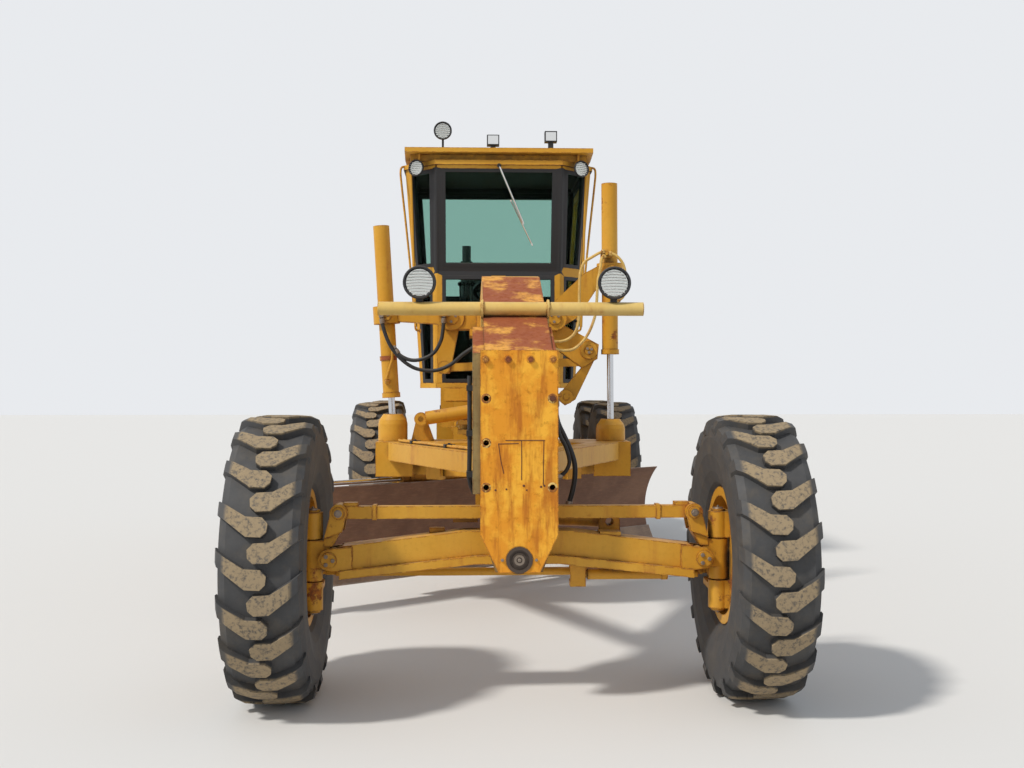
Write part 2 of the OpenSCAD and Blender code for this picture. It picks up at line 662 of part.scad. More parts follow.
// Drawbar: ball cup, two legs, cross plate, ring plate and guide shoes
module drawbar() {
  color(paint) difference() {
    union() {
      pin_y(0, ball_y - 34, ball_y + 90, ball_z, 170);
      block(-70, 70, ball_y + 70, ball_y + 240, draw_z0, draw_z1 + 20);
      difference() {
        flat_plate(draw_z0, draw_z1, [[-70, 560], [70, 560], [770, 2120], [770, 2240], [-770, 2240], [-770, 2120]]);
        flat_plate(draw_z0 - 9, draw_z1 + 9, [[-20, 820], [20, 820], [540, 2060], [-540, 2060]]);
      }
      flat_plate(draw_z0, draw_z1, [[-860, 2200], [860, 2200], [860, 2520], [640, 2600], [-640, 2600], [-860, 2520]]);
      translate([0, circle_y, draw_z0]) difference() {
        cylinder(h = 34, r = circle_r + 46);
        translate([0, 0, -1]) cylinder(h = 36, r = circle_r - circle_w - 40);
      }
      both() front_cut(2176, 2201, [[610, draw_z0 - 112], [860, draw_z0 - 112], [860, draw_z1], [610, draw_z1]]);
      both() block(835, 860, 2190, 2520, draw_z0 - 112, draw_z1);
      for (a = [20, 90, 160, 235, 305]) translate([0, circle_y, 0]) rotate([0, 0, a]) {
        block(circle_r + 10, circle_r + 40, -60, 60, ring_z0 - 22, draw_z0 + 20);
        block(circle_r - 15, circle_r + 11, -60, 60, ring_z0 - 22, ring_z0 - 0.5);
      }
      socket(ball_r);
      socket(ball_l);
      front_cut(lift_y - 16, lift_y + 30, [
        [shift_ball[0] - 70, draw_z1 - 1], [shift_ball[0] + 90, draw_z1 - 1],
        [shift_ball[0] + 34, shift_ball[2]], [shift_ball[0] - 34, shift_ball[2]]
      ]);
      pin_y(shift_ball[0], lift_y - 16, lift_y + 30, shift_ball[2], 68);
      pin_z(0, 2140, draw_z1 - 1, draw_z1 + 130, 260);
      pin_z(0, 2140, draw_z1 + 129, draw_z1 + 190, 150);
      pin_z(0, circle_y - circle_r + circle_w + 60, ring_z0 + 5, draw_z0 + 1, 96);
    }
    translate([0, ball_y, ball_z]) rotate([-90, 0, 0]) rotate_extrude($fn = 64) polygon([
      [0, -60], [46, -60], [46, -26], [53, -8], [53, 8], [46, 28], [28, 45], [0, 53]
    ]);
  }
}
// Centre-shift cylinder across the machine
sh_y = lift_y - 80;
sh_a = [shift_top[0], sh_y, shift_top[2]];
sh_b = [shift_ball[0], sh_y, shift_ball[2]];
sh_u = (sh_b - sh_a) / norm(sh_b - sh_a);
module shift_rod() {
  color(chrome) bar(sh_a + 40 * sh_u, sh_a + 660 * sh_u, 44);
  color(paint) difference() {
    pin_y(sh_a[0], sh_y - 27, sh_y + 27, sh_a[2], 100);
    pin_y(sh_a[0], sh_y - 80, sh_y + 80, sh_a[2], 2 * (22 + play));
  }
}
module shift_barrel() {
  color(paint) difference() {
    union() {
      pin_y(sh_b[0], sh_y - 25, sh_y + 25, sh_b[2], 90);
      bar(sh_b - 660 * sh_u, sh_b - 34 * sh_u, 92);
      bar(sh_b - 668 * sh_u, sh_b - 620 * sh_u, 104);
    }
    pin_y(sh_b[0], sh_y - 30, sh_y + 30, sh_b[2], 34);
    bar(sh_b - 700 * sh_u, sh_b - 90 * sh_u, 2 * (22 + play));
  }
}

// Everything below the circle is drawn along the blade
module blade_frame() {
  translate([0, circle_y, 0]) rotate([0, 0, blade_a]) children();
}
arm_x = 560;
tip_y = 430;
tip_z = 340;
bl_y = -190;
bl_z = 495;
bl_r = 500;
module circle() {
  ri = circle_r - circle_w;
  color(paint) {
    translate([0, circle_y, ring_z0]) difference() {
      cylinder(h = ring_z1 - ring_z0, r = circle_r);
      translate([0, 0, -5]) linear_extrude(200) polygon([
        for (i = [0:tooth_n - 1]) for (k = [[0, 0], [0.3, 0], [0.42, 24], [0.88, 24]])
          let (a = (i + k[0]) * 360 / tooth_n) [(ri + k[1]) * cos(a), (ri + k[1]) * sin(a)]
      ]);
    }
    blade_frame() both() {
      side_plate(arm_x - 15, arm_x + 15, [
        [385, ring_z0 + 2], [492, ring_z0 + 2], [492, 420], [460, 302], [405, 302], [395, 380], [430, 470],
        [430, 700], [388, 770]
      ]);
      pin_x(arm_x - 24, arm_x + 24, tip_y, tip_z, 84);
    }
  }
  color(steel) blade_frame() both() pin_x(arm_x - 34, arm_x + 62, tip_y, tip_z, 44);
}
module blade_carrier() {
  color(paint) blade_frame() {
    both() difference() {
      union() {
        side_plate(arm_x + 30, arm_x + 54, [
          [355, 900 - 48], [372, 900 - 66], [420, 740], [470, 360], [452, 232], [408, 232], [380, 330], [345, 420], [345, 655], [262, 800], [262, 880]
        ]);
        block(arm_x + 30, arm_x + 100, 312, 378, 652, 748);
        block(arm_x + 30, arm_x + 100, 330, 402, 322, 418);
        pin_x(arm_x + 30, arm_x + 60, 290, 858, 88);
      }
      block(arm_x - 9, arm_x + 200, 200, 336, 675 - seat, 731);
      block(arm_x - 9, arm_x + 200, 200, 364, 345 - seat, 401);
      pin_x(arm_x, arm_x + 80, tip_y, tip_z, 2 * (22 + play));
      pin_x(arm_x, arm_x + 80, 290, 858, 2 * 38);
    }
    difference() {
      pin_x(-680, 650, 290, 858, 76);
      pin_x(-690, 620, 290, 858, 2 * (18 + play));
    }
    pin_x(-arm_x - 31, arm_x + 31, tip_y, 255, 44);
  }
}
module moldboard() {
  h = blade_l / 2;
  color(steel) blade_frame() {
    intersection() {
      difference() {
        pin_x(-h, h, bl_y, bl_z, 2 * (bl_r + blade_t));
        pin_x(-h - 1, h + 1, bl_y, bl_z, 2 * bl_r);
      }
      block(-h - 5, h + 5, 0, 400, 225, blade_top);
    }
    difference() {
      block(-1500, 1500, 280, 330, 675, 725);
      pin_x(-1600, 1600, bl_y, bl_z, 2 * (bl_r + 2));
    }
    difference() {
      block(-1500, 1500, 308, 358, 345, 395);
      pin_x(-1600, 1600, bl_y, bl_z, 2 * (bl_r + 2));
    }
    for (s = [-1, 1]) difference() {
      side_plate(min(s * (h - 60), s * (h - 36)), max(s * (h - 60), s * (h - 36)), [
        [200, blade_top - 30], [260, blade_top - 40], [345, 640], [350, 420], [300, 250], [235, 232]
      ]);
      pin_x(-2000, 2000, bl_y, bl_z, 2 * (bl_r + 2));
    }
    difference() {
      side_plate(-1520, -1480, [[262, 700], [330, 700], [322, 880], [258, 880], [240, 800]]);
      pin_x(-1600, -1400, bl_y, bl_z, 2 * (bl_r + 2));
      pin_x(-1600, -1400, 290, 858, 2 * (18 + play));
    }
  }
}
module cutting_edge() {
  h = blade_l / 2;
  color(steel) blade_frame() {
    side_plate(-h, h, [[230, 225], [286, 345], [268, 353], [188, 190], [208, 178]]);
    for (i = [-5.5:1:5.5]) translate([i * 300, 0, 0]) for (k = [[222, 268]])
      translate([0, k[0], k[1]]) rotate([65 + 90, 0, 0]) translate([0, 0, -3]) cylinder(h = 14, d = 34);
  }
}
module side_shift_rod() {
  color(chrome) blade_frame() {
    pin_x(-1560, -70, 290, 858, 36);
    pin_x(-1560, -1524, 290, 858, 60);
  }
}

// Cab corner points at a height, from the middle screen to the back
function sx(z) = cab_w / 2 + (z - floor_z) * tan(side_a);
function fy(z) = z > 2430 ? 3600 - (z - 2430) * 200 / 820 : 3600;
function cy(z) = fy(z) + (sx(z) - screen_w / 2) * 1.026;
function p1(z, s) = [s * screen_w / 2, fy(z), z];
function p2(z, s) = [s * sx(z), cy(z), z];
function p3(z, s) = [s * sx(z), 4720, z];
function quad_at(p, u, v) = (1 - u) * (1 - v) * p[0] + u * (1 - v) * p[1] + u * v * p[2] + (1 - u) * v * p[3];
function inset(p, d) = let (a = d / norm(p[1] - p[0]), b = d / norm(p[3] - p[0]))
  [quad_at(p, a, b), quad_at(p, 1 - a, b), quad_at(p, 1 - a, 1 - b), quad_at(p, a, 1 - b)];
zt = eave_z;
zm = 2430;
zf = floor_z + 5;
screens = [
  [p1(zt, -1), p1(zt, 1), p1(zm, 1), p1(zm, -1)],
  [p1(zt, 1), p2(zt, 1), p2(zm, 1), p1(zm, 1)],
  [p2(zt, -1), p1(zt, -1), p1(zm, -1), p2(zm, -1)],
  [p1(zm, 1), p2(zm, 1), p2(zf, 1), p1(zf, 1)],
  [p2(zm, -1), p1(zm, -1), p1(zf, -1), p2(zf, -1)],
  [[20, fy(zm), zm], p1(zm, 1), p1(zf, 1), [20, fy(zf), zf]],
  [p1(zm, -1), [-20, fy(zm), zm], [-20, fy(zf), zf], p1(zf, -1)],
  [p3(zt, 1), p3(zt, -1), p3(2250, -1), p3(2250, 1)]
];
door_pts = [
  [cy(zf) + 60, 70], [cy(zm) + 62, (zm - zf) / cos(side_a)], [cy(zt) + 62, (zt - zf) / cos(side_a) - 66],
  [4650, (zt - zf) / cos(side_a) - 66], [4650, 70]
];
// Frame of the left side wall: X outward, Y back and Z up along the wall
module side_wall(s) {
  mirror([s < 0 ? 1 : 0, 0, 0]) translate([sx(zf), 0, zf]) rotate([0, side_a, 0]) children();
}
// A flat plate with the cab's outline at height z, made larger by d
module outline(z0, z1, z, d) {
  a = screen_w / 2 + d * 0.4;
  b = sx(z) + d;
  flat_plate(z0, z1, [
    [a, fy(z) - d], [b, cy(z) - d * 0.4], [b, 4720 + d],
    [-b, 4720 + d], [-b, cy(z) - d * 0.4], [-a, fy(z) - d]
  ]);
}
// Heights of the door hinges and the place of their axis, in the wall's frame
hinge_h = [320, 980, 1560];
hinge_x = 36;
hinge_y = 4664;
module cab_shell() {
  t = 44;
  color(paint) {
    difference() {
      union() {
        for (i = [0:4]) panel(screens[i], t);
        panel([p1(zm, -1), p1(zm, 1), p1(zf, 1), p1(zf, -1)], t);
        panel([p3(zt, 1), p3(zt, -1), p3(zf, -1), p3(zf, 1)], t);
      }
      for (q = screens) panel(inset(q, frame_w), t + 20);
    }
    for (s = [-1, 1]) side_wall(s) difference() {
      side_plate(-t / 2, t / 2, [
        [cy(zf), 0], [cy(zm), (zm - zf) / cos(side_a)], [cy(zt), (zt - zf) / cos(side_a)],
        [4720, (zt - zf) / cos(side_a)], [4720, 0]
      ]);
      side_plate(-t, t, [for (p = door_pts) [p[0] + (p[0] > 4600 ? 8 : -8), p[1] + (p[1] > 1500 ? 8 : p[1] < 100 ? -8 : 0)]]);
    }
    difference() {
      outline(eave_z - 14, eave_z + 22, eave_z, 34);
      outline(eave_z - 20, eave_z + 23, eave_z, -42);
    }
    for (s = [-1, 1]) side_wall(s) for (h = hinge_h) {
      pin_z(hinge_x, hinge_y, h - 52, h + 52, 12);
      for (k = [h - 54, h + 34]) {
        pin_z(hinge_x, hinge_y, k, k + 20, 24);
        block(21, hinge_x + 2, hinge_y, hinge_y + 42, k, k + 20);
      }
    }
    outline(floor_z, floor_z + 40, floor_z, 26);
    for (s = [-1, 1]) {
      bar(p2(zf + 10, s), p2(zm + 4, s), post_t - 4);
      bar(p2(zm - 14, s), p2(zt - 30, s), post_t);
      bar(p1(zf + 10, s), p1(zm + 4, s), post_t - 4);
      bar(p1(zm - 14, s), p1(zt - 30, s), post_t);
    }
    for (s = [-1, 1]) {
      bar([s * 690.7, 3499, 3240], [s * 654.3, 3546, 1985], 24);
      bar([s * 690, 3500, 3226], [s * 662, 3620, 3226], 18);
      bar([s * 656, 3544, 2040], [s * 626, 3750, 2040], 18);
    }
  }
}
module cab_roof() {
  z = eave_z + 22 + seat;
  color(paint) {
    flat_plate(z, z + 53, [[-690, 3440], [690, 3440], [706, 3700], [702, 4775], [-702, 4775], [-706, 3700]]);
    flat_plate(z + 52, z + 88, [[-730, 3330], [730, 3330], [745, 3700], [740, 4790], [-740, 4790], [-745, 3700]]);
    block(-46 - 20, -46 + 20, 3400, 3440, z + 87, z + 120);
    block(405 - 20, 405 + 20, 3400, 3440, z + 87, z + 150);
    block(-438 - 8, -438 + 8, 3440, 3470, z + 87, z + 190);
  }
  color(dark) {
    block(-46 - 48, -46 + 48, 3385, 3455, z + 119, z + 200);
    block(405 - 48, 405 + 48, 3385, 3455, z + 149, z + 232);
    translate([-438, 3480, z + 235]) lamp_cup(140, 70);
    at_corner_lamps() lamp_cup(128, 60);
    for (s = [-1, 1]) block(s * 622 - 10, s * 622 + 10, 3400, 3440, z - 40, z + 60);
  }
}
module cab_glass() {
  color(glass) for (q = screens) panel(inset(q, frame_w + seat), pane_t);
}
module seat_unit() {
  z = floor_z + 40 + seat;
  color(dark) {
    block(-200, 200, 4150, 4560, z, z + 60);
    block(-120, 120, 4200, 4500, z + 59, z + 330);
    block(-250, 250, 4090, 4570, z + 329, z + 450);
    side_plate(-240, 240, [[4500, z + 440], [4590, z + 440], [4650, z + 1060], [4570, z + 1060]]);
    both() block(250, 310, 4200, 4520, z + 560, z + 610);
    both() block(249, 300, 4440, 4500, z + 400, z + 570);
  }
}
module console() {
  z = floor_z + 40 + seat;
  color(dark) {
    side_plate(-220, 220, [[3660, z], [3900, z], [3860, z + 300], [3760, z + 620], [3690, z + 620]]);
    bar([0, 3800, z + 500], [0, 3908, z + 765], 50);
    translate([0, 3905, z + 750]) rotate([-25, 0, 0]) difference() {
      cylinder(h = 26, r = 200);
      translate([0, 0, -1]) cylinder(h = 30, r = 172);
    }
    translate([0, 3905, z + 750]) rotate([-25, 0, 0]) {
      block(-180, 180, -14, 14, 4, 20);
      cylinder(h = 24, r = 40);
    }
    for (s = [-1, 1]) for (i = [0:3]) {
      bar([s * (200 + i * 34), 3780, z + 560], [s * (205 + i * 34), 3800, z + 800], 12);
      translate([s * (205 + i * 34), 3800, z + 806]) sphere(r = 19);
    }
    both() block(200, 330, 3740, 3820, z + 520, z + 580);
  }
}
door_mid = (zm - zf) / cos(side_a);
door_top = (zt - zf) / cos(side_a) - 140;
sill = 560;
door_hole = [
  [cy(zf) + 140, 150], [cy(zm) + 130, door_mid], [cy(zt) + 142, door_top], [4575, door_top], [4575, 150]
];
function hole_y(h) = door_hole[0][0] + (door_hole[1][0] - door_hole[0][0]) * (h - 150) / (door_mid - 150);
module door_glass(s) {
  g = seat + 0.1;
  side_wall(s) color(glass) side_plate(-pane_t / 2, pane_t / 2, [
    [hole_y(sill) + g, sill + seat], [door_hole[1][0] + g, door_mid], [door_hole[2][0] + g, door_top - seat],
    [4575 - seat, door_top - seat], [4575 - seat, sill + seat]
  ]);
}
module door(s) {
  side_wall(s) {
    color(paint) difference() {
      side_plate(-18, 18, door_pts);
      side_plate(-40, 40, door_hole);
    }
    color(paint) side_plate(-15, 15, [
      [door_hole[0][0] - 1, 149], [4576, 149], [4576, sill], [hole_y(sill) - 1, sill]
    ]);
    color(dark) block(17, 50, cy(zm) + 84, cy(zm) + 104, 640, 820);
    color(paint) for (h = hinge_h) {
      difference() {
        union() {
          pin_z(hinge_x, hinge_y, h - 30, h + 30, 24);
          block(25, 34, 4600, hinge_y, h - 25, h + 25);
        }
        pin_z(hinge_x, hinge_y, h - 60, h + 60, 2 * (6 + play));
      }
      block(17, 26, 4600, 4642, h - 25, h + 25);
    }
  }
}

// Rear frame with the rear axle, the ears of the articulation and the bumper
module rear_frame() {
  color(paint) {
    difference() {
      union() {
        both() block(300, 380, 5040, wb + 1520, 950, 1130);
        block(-380, 380, 5040, 5080, 900, 1400);
        block(-380, 380, wb + 580, wb + 660, 960, 1120);
        block(-600, 600, wb + 1520, wb + 1640, 840, 1160);
        for (z = [[950 - artic_play - 60, 950 - artic_play], [1250 + artic_play, 1310 + artic_play]]) {
          flat_plate(z[0], z[1], [[-120, artic_y], [120, artic_y], [330, 5041], [-330, 5041]]);
          pin_z(0, artic_y, z[0], z[1], 240);
        }
        flat_plate(1040, 1100, [[300, 5041], [380, 5041], [390, wb - 720], [300, wb - 660]]);
        both() flat_plate(1104, 1144, [[290, 5060], [400, 5060], [400, wb - 700], [290, wb - 700]]);
      }
      block(-70, 70, wb + 1560, wb + 1780, 940, 1060);
      pin_z(0, wb + 1600, 800, 1200, 60);
      both() block(268, 390, 5030, 5090, 1145, 1212);
    }
    both() pin_z(330, 5150, 1143, 1196, 22);
    pin_z(0, artic_y, 870, 1330, 90);
    pin_z(0, artic_y, 1310, 1345, 140);
    pin_x(-690, 690, wb, wr, 320);
    both() pin_x(560, 708 - seat, wb, wr, 400);
    both() side_plate(290, 390, [[wb - 220, 960], [wb + 220, 960], [wb + 140, wr], [wb - 140, wr]]);
  }
}
module engine() {
  color([0.3, 0.31, 0.3]) {
    block(-240, 240, wb - 220, wb + 980, 1140, 1560);
    block(-200, 200, wb - 180, wb + 940, 1559, 1850);
    block(-170, 170, wb - 650, wb - 215, 1150, 1600);
    block(-160, 160, wb - 160, wb + 560, 1000, 1145);
    pin_y(0, wb + 975, wb + 1080, 1400, 520);
    both() block(239, 299, wb - 20, wb + 780, 1150, 1210);
    both() block(239, 340, wb - 70, wb + 30, 1130 + seat, 1200);
    both() block(239, 340, wb + 730, wb + 830, 1130 + seat, 1200);
    pin_y(200, wb - 120, wb + 380, 1950, 160);
    pin_z(180, wb + 80, 1960, 2045, 130);
    block(160, 240, wb - 20, wb + 280, 1849, 1950);
  }
}
module hood() {
  w = hood_w / 2;
  color(paint) difference() {
    side_plate(-w, w, [[wb - 680, 1150], [wb - 680, hood_z], [wb + 1410, hood_z - 60], [wb + 1410, 1150]]);
    side_plate(-w + 14, w - 14, [[wb - 666, 1100], [wb - 666, hood_z - 14], [wb + 1480, hood_z - 76], [wb + 1480, 1100]]);
    for (i = [0:9]) both() block(w - 30, w + 10, wb + 430 + i * 70, wb + 460 + i * 70, 1450, 1950);
    pin_z(-260, wb + 480, hood_z - 300, hood_z + 100, 170);
    pin_z(180, wb + 80, hood_z - 300, hood_z + 100, 150);
  }
  color(paint) both() block(345, w, wb - 680, wb + 1410, 1130 + seat, 1160);
}
module grille() {
  w = hood_w / 2;
  color(dark) {
    difference() {
      block(-w, w, wb + 1410 + seat, wb + 1519, 1150, hood_z - 64);
      block(-w + 60, w - 60, wb + 1380, wb + 1580, 1230, hood_z - 140);
    }
    for (i = [0:11]) block(-w + 59, w - 59, wb + 1440, wb + 1480, 1265 + i * 70, 1287 + i * 70);
  }
}
module stacks() {
  color(dark) {
    pin_z(-260, wb + 480, 1850 + seat, hood_z + 80, 110);
    pin_z(-260, wb + 480, hood_z + 79, hood_z + 560, 125);
    pin_z(-260, wb + 480, hood_z + 559, hood_z + 720, 90);
    pin_z(180, wb + 80, 2045 + seat, hood_z + 120, 110);
    pin_z(180, wb + 80, hood_z + 119, hood_z + 300, 240);
    block(-320, -130, wb + 420, wb + 540, 1850 + seat, 1876);
  }
}
module tandem_cases() {
  color(paint) both() {
    side_plate(708, 880, [
      [y_mid - 150, wr - case_h / 2], [y_rear + 150, wr - case_h / 2], [y_rear + 230, wr - 60], [y_rear + 230, wr + 60],
      [y_rear + 150, wr + case_h / 2], [y_mid - 150, wr + case_h / 2], [y_mid - 230, wr + 60], [y_mid - 230, wr - 60]
    ]);
    for (y = [y_mid, y_rear]) {
      pin_x(879, rx - 66, y, wr, 210);
      pin_x(rx - 70, rx + 36, y, wr, 110);
      for (i = [0:5]) pin_x(700, 710, y + 100 * cos(i * 60), wr + 100 * sin(i * 60), 26);
    }
  }
}
// Hydraulic cylinders that turn the articulation
ar_a = [260, 4250, 1170];
ar_b = [330, 5150, 1170];
ar_u = (ar_b - ar_a) / norm(ar_b - ar_a);
module artic_barrel() {
  color(paint) difference() {
    union() {
      pin_z(ar_a[0], ar_a[1], 1152, 1188, 90);
      bar(ar_a + 30 * ar_u, ar_a + 160 * ar_u, 32);
      bar(ar_a + 138 * ar_u, ar_a + 610 * ar_u, 90);
    }
    pin_z(ar_a[0], ar_a[1], 1140, 1200, 2 * (25 + play));
    bar(ar_a + 170 * ar_u, ar_a + 700 * ar_u, 2 * (20 + play));
  }
}
module artic_rod() {
  color(chrome) bar(ar_a + 330 * ar_u, ar_b - 32 * ar_u, 40);
  color(paint) difference() {
    pin_z(ar_b[0], ar_b[1], 1152, 1188, 84);
    pin_z(ar_b[0], ar_b[1], 1140, 1200, 54);
  }
}

module left_wheel(x, y) {
  translate([x, y, wr]) children();
}
module right_wheel(x, y) {
  translate([-x, y, wr]) rotate([0, 0, 180]) children();
}

main_frame();
front_plate();
axle_beam();
light_bar();
work_lamps();
lift_arms();
cab_shell();
cab_roof();
cab_glass();
seat_unit();  // seat
console();
rear_frame();
engine();
hood();
grille();
stacks();
tandem_cases();
translate([fx, 0, wr]) tyre();  // tyre_fl
translate([-fx, 0, wr]) tyre();  // tyre_fr
translate([rx, y_mid, wr]) tyre();  // tyre_ml
translate([-rx, y_mid, wr]) tyre();  // tyre_mr
translate([rx, y_rear, wr]) tyre();  // tyre_rl
translate([-rx, y_rear, wr]) tyre();  // tyre_rr
left_wheel(fx, 0) front_rim();  // rim_fl
right_wheel(fx, 0) front_rim();  // rim_fr
left_wheel(rx, y_mid) rear_rim();  // rim_ml
right_wheel(rx, y_mid) rear_rim();  // rim_mr
left_wheel(rx, y_rear) rear_rim();  // rim_rl
right_wheel(rx, y_rear) rear_rim();  // rim_rr
lean_yoke();  // lean_yoke_left
mirror([1, 0, 0]) lean_yoke();  // lean_yoke_right
union() {  // knuckle_left
  knuckle();
  steer_arm();
}
mirror([1, 0, 0]) {  // knuckle_right
  knuckle();
  steer_arm();
}
lean_bar();
tie_end();  // tie_rod_end
tie_rod();
steer_barrel();
steer_rod();
lean_barrel();
lean_rod();
artic_barrel();  // artic_barrel_left
mirror([1, 0, 0]) artic_barrel();  // artic_barrel_right
artic_rod();  // artic_rod_left
mirror([1, 0, 0]) artic_rod();  // artic_rod_right
drawbar();
lift_barrel(lift_l, ball_l);  // lift_barrel_left
lift_barrel(lift_r, ball_r);  // lift_barrel_right
lift_rod(lift_l, ball_l);  // lift_rod_left
lift_rod(lift_r, ball_r);  // lift_rod_right
shift_barrel();
shift_rod();
circle();
blade_carrier();
moldboard();
cutting_edge();
side_shift_rod();
door(1);  // door_left
door(-1);  // door_right
door_glass(1);  // door_glass_left
door_glass(-1);  // door_glass_right
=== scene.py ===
"""Looks of the motor grader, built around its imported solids.

Sizes are in metres, the front faces -Y and the left side is +X.
"""

import functools
import math
import random

import bmesh
import bpy
from mathutils import Matrix, Vector


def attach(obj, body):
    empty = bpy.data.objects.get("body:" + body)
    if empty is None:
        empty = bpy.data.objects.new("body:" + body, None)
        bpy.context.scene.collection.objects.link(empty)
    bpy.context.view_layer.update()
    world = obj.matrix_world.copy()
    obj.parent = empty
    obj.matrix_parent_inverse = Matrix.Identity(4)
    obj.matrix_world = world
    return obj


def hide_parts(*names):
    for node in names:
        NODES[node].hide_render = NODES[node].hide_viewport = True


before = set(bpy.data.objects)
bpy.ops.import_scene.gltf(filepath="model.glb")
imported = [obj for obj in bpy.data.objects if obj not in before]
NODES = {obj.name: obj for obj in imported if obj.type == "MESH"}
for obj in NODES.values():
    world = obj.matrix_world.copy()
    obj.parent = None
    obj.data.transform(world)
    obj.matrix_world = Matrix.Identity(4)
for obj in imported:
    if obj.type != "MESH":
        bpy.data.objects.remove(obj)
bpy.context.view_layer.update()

bl_info = {
    "name": "Motor grader",
    "version": (1, 0, 0),
    "blender": (4, 5, 0),
    "location": "View3D > Sidebar > Grader",
    "description": "Paint, rust, hoses, lamps, panes and cab fittings of a motor grader",
    "category": "Object",
}

# Wheels: rolling radius and the places of the three axles
WHEEL_R = 0.685
FRONT_Y, MID_Y, REAR_Y = 0.0, 5.16, 6.68
# Cab: heights of the floor, of the kink in its front, of the eaves and of the roof sheet, half width,
# front and back, how far the front leans back above the kink, half width of the middle pane,
# how far the corner panes turn back for their width, and tilt of the side walls
FLOOR_Z = 1.5
KINK_Z = 2.43
EAVE_Z = 3.25
ROOF_Z = EAVE_Z + 0.0223
CAB_X = 0.6
CAB_Y = 3.6
CAB_BACK_Y = 4.72
FRONT_LEAN = 0.2
PANE_X = 0.4835
CORNER_TURN = 1.026
WALL_TILT = math.radians(3.9)
# Front: radius of the headlamps, face of the front plate, height of the axle's pivot pin and radius
# of its ring, kingpins and lean pins
HEAD_R = 0.165 / 2
PLATE_Y = -0.3
PIVOT_Z = 0.708
PIVOT_RING_R = 0.0625
KING_X = 0.985
LEAN_X = KING_X - 0.085
LEAN_Z = 0.68
# Rear: sides of the hood
HOOD_X = 0.5
# Painted eyes at the ends of the bright rods, and the radius that the paint reaches
EYE_R = 0.062
ROD_EYES = {
    "shift_rod": (0.43, 2.28, 1.44),
    "lean_rod": (-0.25, 0.14, 0.87),
    "steer_rod": (0.888, 0.062, 0.585),
    "artic_rod_left": (0.33, 5.15, 1.17),
    "artic_rod_right": (-0.33, 5.15, 1.17),
}
# Routes of the hoses and pipes, from fitting to fitting
HOSES = {
    "hose_right_low": [
        (-0.826, 2.235, 1.985), (-0.806, 2.235, 1.886), (-0.762, 2.236, 1.782), (-0.7, 2.24, 1.704),
        (-0.622, 2.24, 1.645), (-0.544, 2.235, 1.621), (-0.449, 2.225, 1.621), (-0.355, 2.215, 1.66),
        (-0.27, 2.19, 1.73), (-0.162, 2.16, 1.8),
    ],
    "hose_right_high": [
        (-0.738, 2.25, 1.772), (-0.7, 2.24, 1.722), (-0.63, 2.23, 1.69), (-0.552, 2.22, 1.695),
        (-0.47, 2.212, 1.738), (-0.424, 2.208, 1.816), (-0.412, 2.208, 1.87), (-0.405, 2.208, 1.93),
        (-0.402, 2.208, 1.987),
    ],
    "hose_post_outer": [
        (0.2, 0.17, 1.457), (0.201, 0.17, 1.4), (0.213, 0.165, 1.33), (0.242, 0.16, 1.265),
        (0.276, 0.155, 1.19), (0.296, 0.15, 1.12), (0.296, 0.146, 1.05), (0.284, 0.142, 0.985),
        (0.268, 0.14, 0.93), (0.258, 0.14, 0.888),
    ],
    "hose_post_inner_thin": [
        (0.2, 0.06, 1.457), (0.2, 0.06, 1.37), (0.21, 0.062, 1.28), (0.244, 0.066, 1.21),
        (0.262, 0.07, 1.145), (0.2555, 0.072, 1.108), (0.236, 0.074, 1.08), (0.209, 0.075, 1.064),
        (0.18, 0.075, 1.06),
    ],
}
LEFT_PIPES = [
    [
        (0.69, 2.246, 2.432), (0.655, 2.24, 2.421), (0.606, 2.24, 2.393), (0.554, 2.24, 2.358),
        (0.527, 2.24, 2.296), (0.52, 2.24, 2.226), (0.517, 2.24, 2.084), (0.515, 2.24, 1.993),
        (0.506, 2.238, 1.92), (0.471, 2.235, 1.856), (0.408, 2.228, 1.82), (0.335, 2.21, 1.815),
        (0.25, 2.17, 1.82), (0.162, 2.14, 1.82),
    ],
    [
        (0.69, 2.246, 2.402), (0.668, 2.225, 2.38), (0.659, 2.205, 2.33), (0.652, 2.2, 2.28),
        (0.639, 2.2, 2.215), (0.632, 2.2, 2.084), (0.621, 2.2, 1.99), (0.585, 2.2, 1.89),
        (0.539, 2.2, 1.818), (0.476, 2.2, 1.765), (0.404, 2.198, 1.754), (0.331, 2.18, 1.768),
        (0.25, 2.15, 1.775), (0.162, 2.125, 1.775),
    ],
    [
        (0.72, 2.246, 2.417), (0.745, 2.24, 2.415), (0.785, 2.24, 2.39), (0.818, 2.245, 2.345),
        (0.834, 2.25, 2.28), (0.836, 2.258, 2.2), (0.825, 2.29, 2.13), (0.79, 2.33, 2.1),
    ],
]
RIGHT_PIPE = [
    (-0.79, 2.3, 1.54), (-0.79, 2.285, 1.57), (-0.775, 2.278, 1.625), (-0.756, 2.272, 1.69),
    (-0.75, 2.266, 1.76), (-0.746, 2.258, 1.785), (-0.738, 2.25, 1.772),
]


def colour_prop(name, text, value):
    return bpy.props.FloatVectorProperty(
        name=name, description=text, default=value, size=3, min=0.0, max=1.0, subtype="COLOR"
    )


def length_prop(name, text, value):
    return bpy.props.FloatProperty(
        name=name, description=text, default=value, min=0.0, max=20.0, precision=4, unit="LENGTH"
    )


